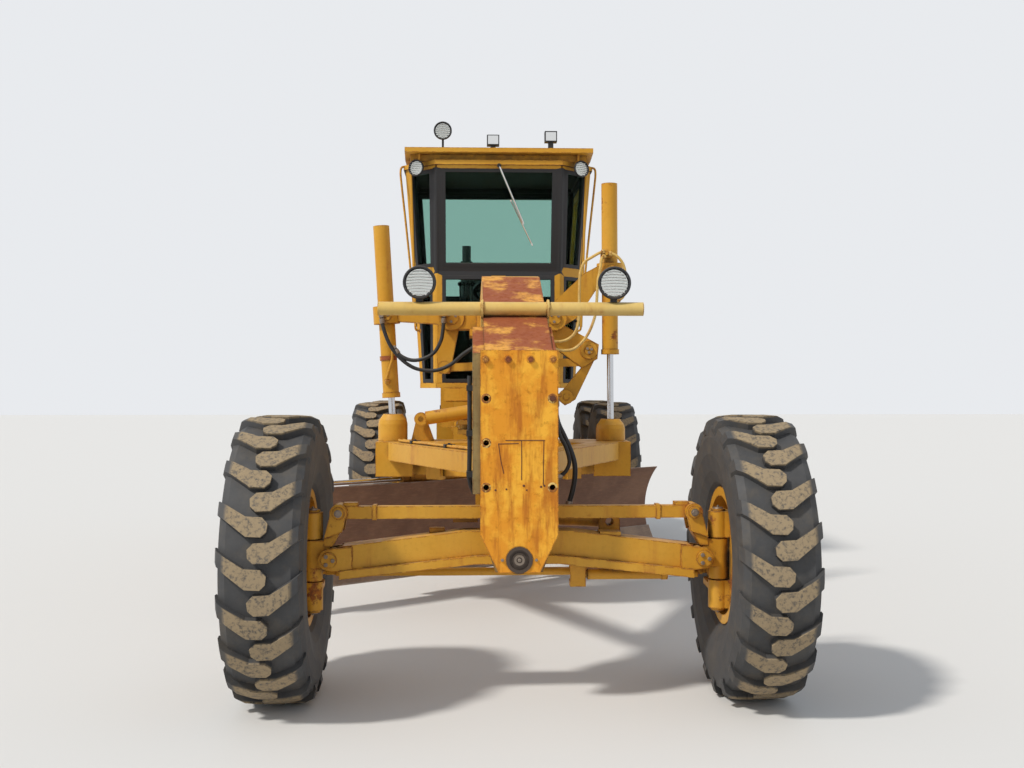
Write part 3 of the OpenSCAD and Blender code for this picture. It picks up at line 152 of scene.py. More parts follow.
class GraderColours(bpy.types.PropertyGroup):
    paint: colour_prop("Paint", "Yellow machine paint", (0.62, 0.3, 0.024))
    faded: colour_prop("Faded paint", "Paint bleached by the sun", (0.72, 0.41, 0.06))
    rust: colour_prop("Rust", "Rust where the paint has gone", (0.17, 0.055, 0.022))
    stain: colour_prop("Stain", "Orange run-off below the rust", (0.42, 0.14, 0.02))
    # Dark colour laid in the hollows by an ambient-occlusion mask: grime there, and painted shade as well
    grime: colour_prop("Grime", "Oily dirt in the corners", (0.07, 0.05, 0.032))
    plate: colour_prop("Plate", "Paint left on the front plate", (0.78, 0.31, 0.024))
    plate_patch: colour_prop("Plate patches", "Cleaner paint of the front plate", (0.92, 0.46, 0.045))
    plate_run: colour_prop("Plate run-off", "Rust that has run down the front plate", (0.44, 0.13, 0.014))
    nose: colour_prop("Nose", "Rusted top of the nose", (0.32, 0.09, 0.034))
    nose_patch: colour_prop("Nose patches", "Paint left on top of the nose", (0.74, 0.36, 0.07))
    nose_run: colour_prop("Nose run-off", "Darker rust on top of the nose", (0.25, 0.06, 0.024))
    khaki: colour_prop("Post side", "Dull side of the post", (0.24, 0.18, 0.075))
    khaki_patch: colour_prop("Post patches", "Lighter patches on the side of the post", (0.34, 0.25, 0.1))
    khaki_run: colour_prop("Post run-off", "Rust on the side of the post", (0.16, 0.1, 0.04))
    cream: colour_prop("Light bar", "Cream paint of the light bar", (0.72, 0.52, 0.18))
    blade: colour_prop("Blade", "Brown steel of the blade", (0.16, 0.075, 0.042))
    rubber: colour_prop("Rubber", "Tyre rubber", (0.035, 0.035, 0.036))
    dust: colour_prop("Dust", "Dry soil on the tyres", (0.36, 0.27, 0.16))
    trim: colour_prop("Trim", "Black rubber and trim", (0.018, 0.018, 0.02))
    chrome: colour_prop("Rods", "Bright hydraulic rods", (0.62, 0.63, 0.65))
    tint: colour_prop("Glass", "Green tint of the panes", (0.5, 0.68, 0.62))
    fabric: colour_prop("Cloth", "Cloth of the driver's seat", (0.035, 0.037, 0.045))
    engine: colour_prop("Engine", "Oily cast iron", (0.075, 0.08, 0.08))
    floor: colour_prop("Floor", "Pale floor of the stage", (0.72, 0.71, 0.69))


class GraderSizes(bpy.types.PropertyGroup):
    hose: length_prop("Hose", "Diameter of the hydraulic hoses", 0.026)
    pipe: length_prop("Pipe", "Diameter of the steel pipes", 0.02)
    seal: length_prop("Seal", "Width of the black rubber seals", 0.03)
    wiper: length_prop("Wiper", "Length of the wiper arm", 0.62)


def colours():
    return bpy.context.scene.grader_colours


def sizes():
    return bpy.context.scene.grader_sizes


def scaled(colour, k):
    """The colour made darker or lighter."""
    return tuple(v * k for v in colour)


# Shader groups


def new_group(name, inputs, outputs):
    tree = bpy.data.node_groups.new(name, "ShaderNodeTree")
    for label, kind, value in inputs:
        s = tree.interface.new_socket(label, in_out="INPUT", socket_type=kind)
        s.default_value = value
    for label, kind in outputs:
        tree.interface.new_socket(label, in_out="OUTPUT", socket_type=kind)
    return tree, tree.nodes.new("NodeGroupInput"), tree.nodes.new("NodeGroupOutput")


class Wiring:
    """Short calls that add and join the nodes of one tree."""

    def __init__(self, tree):
        self.tree = tree

    def node(self, kind, **settings):
        n = self.tree.nodes.new(kind)
        for key, value in settings.items():
            setattr(n, key, value)
        return n

    def put(self, socket, value):
        if isinstance(value, bpy.types.NodeSocket):
            self.tree.links.new(value, socket)
        elif value is not None:
            if socket.type == "RGBA" and len(value) == 3:
                value = (*value, 1.0)
            socket.default_value = value

    def math(self, op, a, b=None, c=None, clamp=False):
        n = self.node("ShaderNodeMath", operation=op, use_clamp=clamp)
        for i, v in enumerate((a, b, c)):
            self.put(n.inputs[i], v)
        return n.outputs[0]

    def mix(self, amount, a, b):
        n = self.node("ShaderNodeMix", data_type="RGBA", clamp_factor=True)
        self.put(n.inputs[0], amount)
        self.put(n.inputs[6], a)
        self.put(n.inputs[7], b)
        return n.outputs[2]

    def spread(self, value, low, high, out_low=0.0, out_high=1.0):
        n = self.node("ShaderNodeMapRange", clamp=True, interpolation_type="SMOOTHSTEP")
        for i, v in enumerate((value, low, high, out_low, out_high)):
            self.put(n.inputs[i], v)
        return n.outputs[0]

    def place(self, stretch=(1, 1, 1)):
        n = self.node("ShaderNodeMapping")
        n.inputs["Scale"].default_value = stretch
        self.put(n.inputs["Vector"], self.node("ShaderNodeTexCoord").outputs["Object"])
        return n.outputs[0]

    def noise(self, scale, detail=4.0, rough=0.55, where=None):
        n = self.node("ShaderNodeTexNoise")
        self.put(n.inputs["Scale"], scale)
        self.put(n.inputs["Detail"], detail)
        self.put(n.inputs["Roughness"], rough)
        self.put(n.inputs["Vector"], where if where is not None else self.place())
        return n.outputs["Fac"]

    def bump(self, height, strength, distance):
        n = self.node("ShaderNodeBump")
        self.put(n.inputs["Height"], height)
        self.put(n.inputs["Strength"], strength)
        self.put(n.inputs["Distance"], distance)
        return n.outputs["Normal"]


NUM, COL = "NodeSocketFloat", "NodeSocketColor"


def edge_wear_group():
    """Mask of worn edges, broken up by noise."""
    tree, gin, gout = new_group(
        "edge wear", [("Radius", NUM, 0.012), ("Amount", NUM, 0.5)], [("Mask", NUM)]
    )
    w = Wiring(tree)
    soft = w.node("ShaderNodeBevel", samples=4)
    w.put(soft.inputs["Radius"], gin.outputs["Radius"])
    flat = w.node("ShaderNodeNewGeometry").outputs["Normal"]
    dot = w.node("ShaderNodeVectorMath", operation="DOT_PRODUCT")
    w.put(dot.inputs[0], soft.outputs[0])
    w.put(dot.inputs[1], flat)
    edge = w.spread(w.math("SUBTRACT", 1.0, dot.outputs["Value"]), 0.004, 0.09)
    broken = w.spread(w.noise(26.0, 6.0, 0.7), 0.62, 0.4)
    low = w.math("SUBTRACT", 1.0, gin.outputs["Amount"])
    worn = w.math("MULTIPLY", edge, w.math("ADD", broken, 0.25))
    w.put(gout.inputs["Mask"], w.spread(worn, low, w.math("ADD", low, 0.25)))
    return tree


def rust_group():
    """Rust patches with run-off streaks under them."""
    tree, gin, gout = new_group(
        "rust patches",
        [("Amount", NUM, 0.3), ("Scale", NUM, 3.0)],
        [("Patch", NUM), ("Streak", NUM)],
    )
    w = Wiring(tree)
    big = w.noise(gin.outputs["Scale"], 7.0, 0.68)
    low = w.math("SUBTRACT", 0.78, w.math("MULTIPLY", gin.outputs["Amount"], 0.4))
    w.put(gout.inputs["Patch"], w.spread(big, low, w.math("ADD", low, 0.05)))
    runs = w.noise(9.0, 4.0, 0.6, w.place((1.6, 1.6, 0.12)))
    near = w.spread(big, w.math("SUBTRACT", low, 0.16), low)
    reach = w.math("ADD", w.math("MULTIPLY", near, 0.8), 0.15)
    w.put(gout.inputs["Streak"], w.math("MULTIPLY", w.spread(runs, 0.5, 0.72), reach))
    return tree


def grime_group():
    """Hollows darkened by an ambient-occlusion mask, which is grime there and painted shade, and dust that
    settles on top.
    """
    tree, gin, gout = new_group(
        "grime",
        [("Reach", NUM, 0.12)],
        [("Corner_shade_and_grime", NUM), ("Dust", NUM), ("Grain", NUM)],
    )
    w = Wiring(tree)
    # Ambient occlusion picks the hollows, so the dark colour laid there is painted shade as well as grime
    ao = w.node("ShaderNodeAmbientOcclusion", samples=4)
    w.put(ao.inputs["Distance"], gin.outputs["Reach"])
    spots = w.noise(11.0, 6.0, 0.65)
    closed = w.spread(ao.outputs["AO"], 0.75, 0.2)
    w.put(gout.inputs["Corner_shade_and_grime"], w.math("MULTIPLY", closed, w.spread(spots, 0.3, 0.6)))
    up = w.node("ShaderNodeSeparateXYZ")
    w.put(up.inputs[0], w.node("ShaderNodeNewGeometry").outputs["Normal"])
    lying = w.spread(up.outputs["Z"], 0.3, 1.0)
    w.put(gout.inputs["Dust"], w.math("MULTIPLY", lying, w.spread(spots, 0.35, 0.7)))
    w.put(gout.inputs["Grain"], w.noise(160.0, 3.0, 0.6))
    return tree


def tread_dust_group():
    """Dry soil on the lug tops and between the lugs of a tyre whose axle runs along X."""
    tree, gin, gout = new_group(
        "tread dust",
        [("Axle Y", NUM, 0.0), ("Axle Z", NUM, WHEEL_R), ("Radius", NUM, WHEEL_R)],
        [("Top", NUM), ("Side", NUM), ("Grain", NUM)],
    )
    w = Wiring(tree)
    at = w.node("ShaderNodeSeparateXYZ")
    w.put(at.inputs[0], w.node("ShaderNodeTexCoord").outputs["Object"])
    dy = w.math("SUBTRACT", at.outputs["Y"], gin.outputs["Axle Y"])
    dz = w.math("SUBTRACT", at.outputs["Z"], gin.outputs["Axle Z"])
    r = w.math("SQRT", w.math("ADD", w.math("MULTIPLY", dy, dy), w.math("MULTIPLY", dz, dz)))
    depth = w.math("SUBTRACT", gin.outputs["Radius"], r)
    spots = w.noise(9.0, 6.0, 0.7)
    fine = w.noise(55.0, 5.0, 0.7)
    top = w.spread(depth, 0.014, 0.003)
    w.put(gout.inputs["Top"], w.math("MULTIPLY", top, w.spread(fine, 0.28, 0.56)))
    w.put(gout.inputs["Side"], w.math("MULTIPLY", w.spread(spots, 0.42, 0.75), 0.6))
    w.put(gout.inputs["Grain"], fine)
    return tree


GROUPS = {}


def use_group(w, key, **values):
    """Place a shared effect in a material, with this material's own values."""
    n = w.node("ShaderNodeGroup")
    n.node_tree = GROUPS[key]
    for label, value in values.items():
        w.put(n.inputs[label.replace("_", " ")], value)
    return n.outputs


def new_material(name):
    """An empty material with its Principled shader joined to the output."""
    m = bpy.data.materials.new(name)
    m.use_nodes = True
    m.node_tree.nodes.clear()
    w = Wiring(m.node_tree)
    out = w.node("ShaderNodeOutputMaterial")
    shader = w.node("ShaderNodeBsdfPrincipled")
    m.node_tree.links.new(shader.outputs[0], out.inputs[0])
    return m, w, shader


def painted(name, paint, faded, rust, wear, grime, scale, streak):
    """Machine paint with fading, rust, streaks, worn edges, and grime with painted shade in the hollows."""
    c = colours()
    m, w, shader = new_material(name)
    cloud = w.noise(1.7, 5.0, 0.6)
    speck = w.noise(42.0, 5.0, 0.7)
    coat = w.mix(w.math("MULTIPLY", w.spread(cloud, 0.35, 0.68), 0.5), paint, faded)
    coat = w.mix(w.math("MULTIPLY", w.spread(speck, 0.45, 0.75), 0.22), coat, scaled(paint, 0.6))
    patches = use_group(w, "rust", Amount=rust, Scale=scale)
    edge = use_group(w, "edge", Amount=wear)["Mask"]
    dirt_and_shade = use_group(w, "grime")
    coat = w.mix(w.math("MULTIPLY", patches["Streak"], streak), coat, c.stain)
    bare = w.math("MAXIMUM", patches["Patch"], edge)
    rusty = w.mix(w.spread(speck, 0.35, 0.65), c.rust, c.stain)
    coat = w.mix(bare, coat, rusty)
    # Painted shade and grime: the hollows found by the ambient-occlusion mask are darkened
    coat = w.mix(w.math("MULTIPLY", dirt_and_shade["Corner_shade_and_grime"], grime), coat, c.grime)
    coat = w.mix(w.math("MULTIPLY", dirt_and_shade["Dust"], 0.35), coat, c.dust)
    w.put(shader.inputs["Base Color"], coat)
    w.put(shader.inputs["Specular IOR Level"], 0.28)
    rough = w.math("ADD", 0.42, w.math("MULTIPLY", bare, 0.38))
    dirty = w.math("MAXIMUM", dirt_and_shade["Corner_shade_and_grime"], dirt_and_shade["Dust"])
    w.put(shader.inputs["Roughness"], w.math("ADD", rough, w.math("MULTIPLY", dirty, 0.25), clamp=True))
    height = w.math("ADD", w.math("MULTIPLY", bare, -0.6), w.math("MULTIPLY", dirt_and_shade["Grain"], 0.35))
    w.put(shader.inputs["Normal"], w.bump(height, 0.35, 0.0015))
    return m


def bare_steel(name, colour, second, bright, scale=4.0, rough=0.62):
    """Worn brown steel, scratched lengthwise."""
    c = colours()
    m, w, shader = new_material(name)
    cloud = w.noise(scale, 7.0, 0.65)
    scratch = w.noise(60.0, 3.0, 0.6, w.place((0.25, 0.25, 4.0)))
    speck = w.noise(90.0, 4.0, 0.7)
    base = w.mix(w.spread(cloud, 0.36, 0.66), colour, second)
    base = w.mix(w.math("MULTIPLY", w.spread(scratch, 0.5, 0.7), 0.35), base, scaled(colour, 2.3))
    dirt_and_shade = use_group(w, "grime")
    base = w.mix(w.math("MULTIPLY", dirt_and_shade["Dust"], 0.5), base, c.dust)
    edge = use_group(w, "edge", Amount=0.55)["Mask"]
    base = w.mix(w.math("MULTIPLY", edge, bright), base, (0.34, 0.3, 0.27))
    w.put(shader.inputs["Base Color"], base)
    w.put(shader.inputs["Roughness"], w.math("ADD", rough - 0.12, w.math("MULTIPLY", speck, 0.3), clamp=True))
    w.put(shader.inputs["Metallic"], w.math("MULTIPLY", edge, bright))
    height = w.math("ADD", w.math("MULTIPLY", cloud, 0.7), w.math("MULTIPLY", speck, 0.4))
    w.put(shader.inputs["Normal"], w.bump(height, 0.4, 0.002))
    return m


def stained_steel(name, colour, patch, stain, patches, scale, runs):
    """Painted plate whose rust has run down it in vertical streaks, with patches of cleaner paint."""
    c = colours()
    m, w, shader = new_material(name)
    cloud = w.noise(scale, 7.0, 0.66)
    fine = w.noise(34.0, 6.0, 0.72)
    down = w.noise(15.0, 5.0, 0.62, w.place((1.5, 1.5, 0.22)))
    base = w.mix(w.spread(cloud, *patches), colour, patch)
    base = w.mix(w.math("MULTIPLY", w.spread(down, 0.46, 0.68), runs), base, stain)
    base = w.mix(w.math("MULTIPLY", w.spread(fine, 0.52, 0.72), 0.45), base, scaled(stain, 0.62))
    edge = use_group(w, "edge", Amount=0.6)["Mask"]
    dirt_and_shade = use_group(w, "grime", Reach=0.06)
    base = w.mix(w.math("MULTIPLY", edge, 0.8), base, c.rust)
    # Painted shade and grime: the hollows found by the ambient-occlusion mask are darkened
    base = w.mix(w.math("MULTIPLY", dirt_and_shade["Corner_shade_and_grime"], 0.7), base, c.grime)
    w.put(shader.inputs["Base Color"], base)
    w.put(shader.inputs["Specular IOR Level"], 0.2)
    w.put(shader.inputs["Roughness"], w.spread(fine, 0.3, 0.7, 0.46, 0.82))
    height = w.math("ADD", w.math("MULTIPLY", cloud, 0.6), w.math("MULTIPLY", fine, 0.5))
    w.put(shader.inputs["Normal"], w.bump(height, 0.35, 0.0015))
    return m


def tyre_rubber(name, axle_y):
    """Aged rubber with dry soil on the lugs of the tyre at that axle."""
    c = colours()
    m, w, shader = new_material(name)
    soil = use_group(w, "tread", Axle_Y=axle_y)
    old = w.mix(w.noise(14.0, 4.0, 0.6), c.rubber, scaled(c.rubber, 2.1))
    base = w.mix(w.math("MULTIPLY", soil["Side"], 0.4), old, scaled(c.dust, 0.5))
    base = w.mix(w.math("MULTIPLY", soil["Top"], 0.9), base, c.dust)
    w.put(shader.inputs["Base Color"], base)
    w.put(shader.inputs["Roughness"], w.spread(soil["Top"], 0.0, 1.0, 0.68, 0.95))
    w.put(shader.inputs["Normal"], w.bump(soil["Grain"], 0.3, 0.0012))
    return m


def plain_finish(name, colour, rough, metal=0.0, speckle=0.3, bump=0.15, scale=70.0, coat=0.0):
    """Rubber, trim, cast iron or chrome with a fine grain and some dust."""
    c = colours()
    m, w, shader = new_material(name)
    fine = w.noise(scale, 4.0, 0.65)
    cloud = w.noise(6.0, 4.0, 0.6)
    dirt_and_shade = use_group(w, "grime")
    darker = tuple(v * 0.55 + 0.012 for v in colour)
    base = w.mix(w.math("MULTIPLY", w.spread(cloud, 0.4, 0.7), speckle), colour, darker)
    base = w.mix(w.math("MULTIPLY", dirt_and_shade["Dust"], speckle), base, c.dust)
    w.put(shader.inputs["Base Color"], base)
    w.put(shader.inputs["Roughness"], w.math("ADD", rough - 0.06, w.math("MULTIPLY", fine, 0.14), clamp=True))
    shader.inputs["Metallic"].default_value = metal
    shader.inputs["Coat Weight"].default_value = coat
    w.put(shader.inputs["Normal"], w.bump(fine, bump, 0.0008))
    return m


def pane_glass(name, colour):
    """Thin glass with a few smears."""
    m, w, shader = new_material(name)
    smear = w.noise(5.0, 5.0, 0.7)
    w.put(shader.inputs["Roughness"], w.spread(smear, 0.5, 0.85, 0.03, 0.16))
    shader.inputs["Base Color"].default_value = (*colour, 1.0)
    shader.inputs["Transmission Weight"].default_value = 1.0
    shader.inputs["IOR"].default_value = 1.06
    return m


def woven_cloth(name, colour):
    """Woven cloth: two crossed waves and a little fuzz."""
    m, w, shader = new_material(name)
    waves = []
    for turn in ((620.0, 0.0, 0.0), (0.0, 620.0, 620.0)):
        n = w.node("ShaderNodeMapping")
        n.inputs["Scale"].default_value = turn
        w.put(n.inputs["Vector"], w.node("ShaderNodeTexCoord").outputs["Object"])
        s = w.node("ShaderNodeVectorMath", operation="DOT_PRODUCT")
        w.put(s.inputs[0], n.outputs[0])
        s.inputs[1].default_value = (1.0, 1.0, 1.0)
        waves.append(w.math("SINE", s.outputs["Value"]))
    weave = w.math("MULTIPLY", waves[0], waves[1])
    cloth = w.mix(w.spread(weave, -1.0, 1.0), scaled(colour, 0.7), scaled(colour, 1.6))
    w.put(shader.inputs["Base Color"], w.mix(w.math("MULTIPLY", w.noise(12.0), 0.3), cloth, colours().dust))
    shader.inputs["Roughness"].default_value = 0.92
    shader.inputs["Sheen Weight"].default_value = 0.3
    w.put(shader.inputs["Normal"], w.bump(weave, 0.4, 0.0006))
    return m


MATS = {}


def make_materials():
    c = colours()
    GROUPS.update(edge=edge_wear_group(), rust=rust_group(), grime=grime_group(), tread=tread_dust_group())
    MATS.update(painted_finishes(c))
    MATS.update(steel_finishes(c))
    MATS.update(plain_finishes(c))
    MATS.update(
        glass=pane_glass("tinted_glass", c.tint),
        lens=pane_glass("lamp_glass", (0.93, 0.94, 0.92)),
        cloth=woven_cloth("seat_cloth", c.fabric),
        tyre_front=tyre_rubber("front_tyre", FRONT_Y),
        tyre_mid=tyre_rubber("middle_tyre", MID_Y),
        tyre_rear=tyre_rubber("rear_tyre", REAR_Y),
    )


def painted_finishes(c):
    """Yellow and cream paint, from the clean cab to the rusty yokes."""
    yellow, cream = (c.paint, c.faded), (c.cream, c.faded)
    # The corner amount of each paint sets how far its hollows darken: grime there, and painted shade
    return {
        "paint": painted("yellow_paint", *yellow, rust=0.36, wear=0.5, grime=0.9, scale=3.0, streak=0.8),
        "paint_rusty": painted("rusty_paint", *yellow, rust=0.5, wear=0.62, grime=0.95, scale=4, streak=1),
        "paint_clean": painted("cab_paint", *yellow, rust=0.2, wear=0.4, grime=0.7, scale=2.0, streak=0.5),
        "ram": painted("cylinder_paint", *yellow, rust=0.44, wear=0.55, grime=0.9, scale=7.0, streak=0.9),
        "pipe": painted("pipe_paint", *cream, rust=0.4, wear=0.5, grime=0.8, scale=12.0, streak=0.8),
        "cream": painted("cream_paint", *cream, rust=0.26, wear=0.5, grime=0.5, scale=7.0, streak=0.6),
    }


def steel_finishes(c):
    """Stained plates of the nose, and the worn blade."""
    plate = (c.plate, c.plate_patch, c.plate_run)
    nose = (c.nose, c.nose_patch, c.nose_run)
    khaki = (c.khaki, c.khaki_patch, c.khaki_run)
    return {
        "plate": stained_steel("stained_plate", *plate, patches=(0.45, 0.62), scale=6.0, runs=0.8),
        "nose": stained_steel("rusty_nose", *nose, patches=(0.47, 0.6), scale=4.0, runs=0.55),
        "khaki": stained_steel("khaki_side", *khaki, patches=(0.4, 0.7), scale=3.0, runs=0.4),
        "blade": bare_steel("blade_steel", c.blade, (0.22, 0.11, 0.06), bright=0.8),
        "edge": bare_steel("edge_steel", (0.2, 0.13, 0.09), (0.3, 0.2, 0.13), bright=1, scale=7, rough=0.5),
    }


def plain_finishes(c):
    """Rust, bolts, rods, trim, rubber and coloured lenses."""
    oily = {"speckle": 0.4, "bump": 0.4, "scale": 60.0}
    lens = {"speckle": 0.2, "bump": 0.1, "scale": 90.0, "coat": 0.5}
    return {
        "rust": plain_finish("old_rust", (0.13, 0.042, 0.018), 0.85, bump=0.5, scale=90.0),
        "dark_steel": plain_finish("oily_steel", (0.09, 0.065, 0.05), 0.5, 0.5, **oily),
        "lining": plain_finish("cab_lining", (0.022, 0.022, 0.02), 0.85, bump=0.3, scale=120.0),
        "rod": plain_finish("bright_rod", c.chrome, 0.16, 1.0, speckle=0.12, bump=0.03),
        "trim": plain_finish("black_trim", c.trim, 0.5, speckle=0.35),
        "rubber": plain_finish("hose_rubber", (0.014, 0.014, 0.015), 0.55, bump=0.2, scale=140.0),
        "engine": plain_finish("cast_iron", c.engine, 0.6, 0.2, speckle=0.4, bump=0.5, scale=40.0),
        "steel": plain_finish("bolt_steel", (0.3, 0.24, 0.19), 0.5, 0.7, speckle=0.5, bump=0.3),
        "silver": plain_finish("lamp_silver", (0.8, 0.8, 0.78), 0.12, 1.0, speckle=0.05, bump=0.02),
        "red": plain_finish("rear_lens", (0.42, 0.012, 0.01), 0.2, **lens),
        "amber": plain_finish("side_lens", (0.72, 0.2, 0.012), 0.2, **lens),
    }


NODE_FINISH = {
    "paint": "main_frame axle_beam lift_arms rear_frame tandem_cases drawbar circle blade_carrier "
    "steer_barrel lean_barrel artic_barrel_left artic_barrel_right "
    "lean_bar tie_rod_end tie_rod rim_fl rim_fr rim_ml rim_mr rim_rl rim_rr",
    "paint_rusty": "lean_yoke_left lean_yoke_right knuckle_left knuckle_right",
    "paint_clean": "cab_shell cab_roof hood door_left door_right",
    "ram": "lift_barrel_left lift_barrel_right shift_barrel",
    "plate": "front_plate",
    "cream": "light_bar",
    "blade": "moldboard",
    "edge": "cutting_edge",
    "rod": "steer_rod lean_rod artic_rod_left artic_rod_right lift_rod_left lift_rod_right "
    "shift_rod side_shift_rod",
    "trim": "work_lamps grille stacks console",
    "engine": "engine",
    "glass": "cab_glass door_glass_left door_glass_right",
    "tyre_front": "tyre_fl tyre_fr",
    "tyre_mid": "tyre_ml tyre_mr",
    "tyre_rear": "tyre_rl tyre_rr",
}


# Mesh helpers


def turn_to(direction):
    """Rotation that takes +Z to the direction."""
    return Vector((0, 0, 1)).rotation_difference(Vector(direction).normalized()).to_matrix().to_4x4()


def add_block(bm, place, size):
    """A box of that size with its middle at the place, turned as the place says."""
    made = bmesh.ops.create_cube(bm, size=1.0)["verts"]
    bmesh.ops.transform(bm, matrix=place @ Matrix.Diagonal((*size, 1.0)), verts=made)


def add_box(bm, x0, x1, y0, y1, z0, z1):
    """A box by its limits."""
    mid = Vector(((x0 + x1) / 2, (y0 + y1) / 2, (z0 + z1) / 2))
    add_block(bm, Matrix.Translation(mid), (x1 - x0, y1 - y0, z1 - z0))


def add_rod(bm, a, b, r, sides=20):
    """A round rod from a to b."""
    a, b = Vector(a), Vector(b)
    long = (b - a).length
    made = bmesh.ops.create_cone(bm, cap_ends=True, segments=sides, radius1=r, radius2=r, depth=long)["verts"]
    bmesh.ops.transform(bm, matrix=Matrix.Translation((a + b) / 2) @ turn_to(b - a), verts=made)


def ring_verts(bm, place, r, h, sides):
    """One turn of points at that radius and height."""
    turn = [2 * math.pi * i / sides for i in range(sides)]
    return [bm.verts.new(place @ Vector((r * math.cos(t), r * math.sin(t), h))) for t in turn]


def add_lathe(bm, profile, at, axis, sides):
    """Turned shape: profile is (radius, height) pairs from bottom to top, and radius 0 closes an end."""
    rings = []
    place = Matrix.Translation(at) @ turn_to(axis)
    for r, h in profile:
        if r == 0:
            rings.append([bm.verts.new(place @ Vector((0, 0, h)))])
        else:
            rings.append(ring_verts(bm, place, r, h, sides))
    for low, high in zip(rings, rings[1:]):
        for i in range(sides):
            j = (i + 1) % sides
            if len(low) == 1:
                bm.faces.new((low[0], high[j], high[i])[::-1])
            elif len(high) == 1:
                bm.faces.new((low[i], low[j], high[0]))
            else:
                bm.faces.new((low[i], low[j], high[j], high[i]))
    for ring, flip in ((rings[0], True), (rings[-1], False)):
        if len(ring) > 1:
            bm.faces.new(ring[::-1] if flip else ring)


def add_ring(bm, section, at, axis, sides=44):
    """Closed ring turned from a section of (radius, height) pairs."""
    place = Matrix.Translation(at) @ turn_to(axis)
    rings = [ring_verts(bm, place, r, h, sides) for r, h in section]
    for low, high in zip(rings, rings[1:] + rings[:1]):
        for i in range(sides):
            j = (i + 1) % sides
            bm.faces.new((low[i], low[j], high[j], high[i]))


def add_bolt(bm, at, axis, across, height, washer=True):
    """Hexagon head, on a washer or bare, standing on the surface at that point."""
    axis = Vector(axis).normalized()
    at = Vector(at)
    if washer:
        add_rod(bm, at - axis * 0.001, at + axis * 0.003, across * 0.72, 20)
        at = at + axis * 0.003
    corner = across * 0.577
    add_lathe(bm, [(corner, 0), (corner, height * 0.85), (across * 0.5, height)], at, axis, 6)


def add_tube(bm, points, r, sides=12):
    """Pipe swept along a smooth line of points, with closed ends."""
    pts = smooth_line(points)
    rings = []
    side = None
    for i, p in enumerate(pts):
        t = (pts[min(i + 1, len(pts) - 1)] - pts[max(i - 1, 0)]).normalized()
        if side is None:
            side = t.orthogonal().normalized()
        side = (side - t * side.dot(t)).normalized()
        up = t.cross(side)
        rings.append(
            [
                bm.verts.new(p + side * (r * math.cos(a)) + up * (r * math.sin(a)))
                for a in (2 * math.pi * k / sides for k in range(sides))
            ]
        )
    for low, high in zip(rings, rings[1:]):
        for k in range(sides):
            j = (k + 1) % sides
            bm.faces.new((low[k], low[j], high[j], high[k]))
    bm.faces.new(rings[0][::-1])
    bm.faces.new(rings[-1])


def smooth_line(points, steps=6):
    """Rounded line through the points."""
    p = [Vector(q) for q in points]
    if len(p) < 3:
        return p
    p = [2 * p[0] - p[1], *p, 2 * p[-1] - p[-2]]
    out = []
    for a, b, c, d in zip(p, p[1:], p[2:], p[3:]):
        for k in range(steps):
            t = k / steps
            square = (2 * a - 5 * b + 4 * c - d) * t * t
            cube = (3 * b - a - 3 * c + d) * t**3
            out.append(0.5 * ((2 * b) + (c - a) * t + square + cube))
    return [*out, p[-2]]


def add_ring_frame(bm, corners, width, depth, normal):
    """Flat frame of that width, inside the corners of a pane, standing out on both sides."""
    c = [Vector(q) for q in corners]
    n = Vector(normal).normalized()
    inner = []
    for i, q in enumerate(c):
        a = (c[i - 1] - q).normalized()
        b = (c[(i + 1) % len(c)] - q).normalized()
        half = math.acos(max(-1, min(1, a.dot(b)))) / 2
        inner.append(q + (a + b).normalized() * (width / math.sin(half)))
    layers = [[bm.verts.new(q + n * s) for q in ring] for ring in (c, inner) for s in (-depth, depth)]
    out_low, out_high, in_low, in_high = layers
    k = len(c)
    for i in range(k):
        j = (i + 1) % k
        bm.faces.new((out_low[i], out_low[j], out_high[j], out_high[i]))
        bm.faces.new((out_high[i], out_high[j], in_high[j], in_high[i]))
        bm.faces.new((in_high[i], in_high[j], in_low[j], in_low[i]))
        bm.faces.new((in_low[i], in_low[j], out_low[j], out_low[i]))


def make_piece(name, bm, finish, body, bevel=0.0, angle=35.0):
    """Turns the mesh into a named piece that rides on a body."""
    bmesh.ops.recalc_face_normals(bm, faces=bm.faces)
    mesh = bpy.data.meshes.new(name)
    bm.to_mesh(mesh)
    bm.free()
    mesh.materials.append(MATS[finish])
    obj = bpy.data.objects.new(name, mesh)
    bpy.context.collection.objects.link(obj)
    mesh.shade_smooth()
    mesh.set_sharp_from_angle(angle=math.radians(angle))
    if bevel:
        m = obj.modifiers.new("rounding", "BEVEL")
        m.width = bevel
        m.segments = 2
        m.limit_method = "ANGLE"
        m.harden_normals = True
    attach(obj, body)
    return obj


def lay_hose(name, points, body, diameter):
    """Hose along a smooth line from its first point to its last, riding on the body; gives back the line."""
    line = smooth_line(points, 4)
    curve = bpy.data.curves.new(name, "CURVE")
    curve.dimensions = "3D"
    curve.bevel_depth = diameter / 2
    curve.bevel_resolution = 3
    curve.use_fill_caps = True
    spline = curve.splines.new("POLY")
    spline.points.add(len(line) - 1)
    for at, p in zip(spline.points, line):
        at.co = (*p, 1.0)
    curve.materials.append(MATS["rubber"])
    obj = bpy.data.objects.new(name, curve)
    bpy.context.collection.objects.link(obj)
    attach(obj, body)
    return line


# Pieces


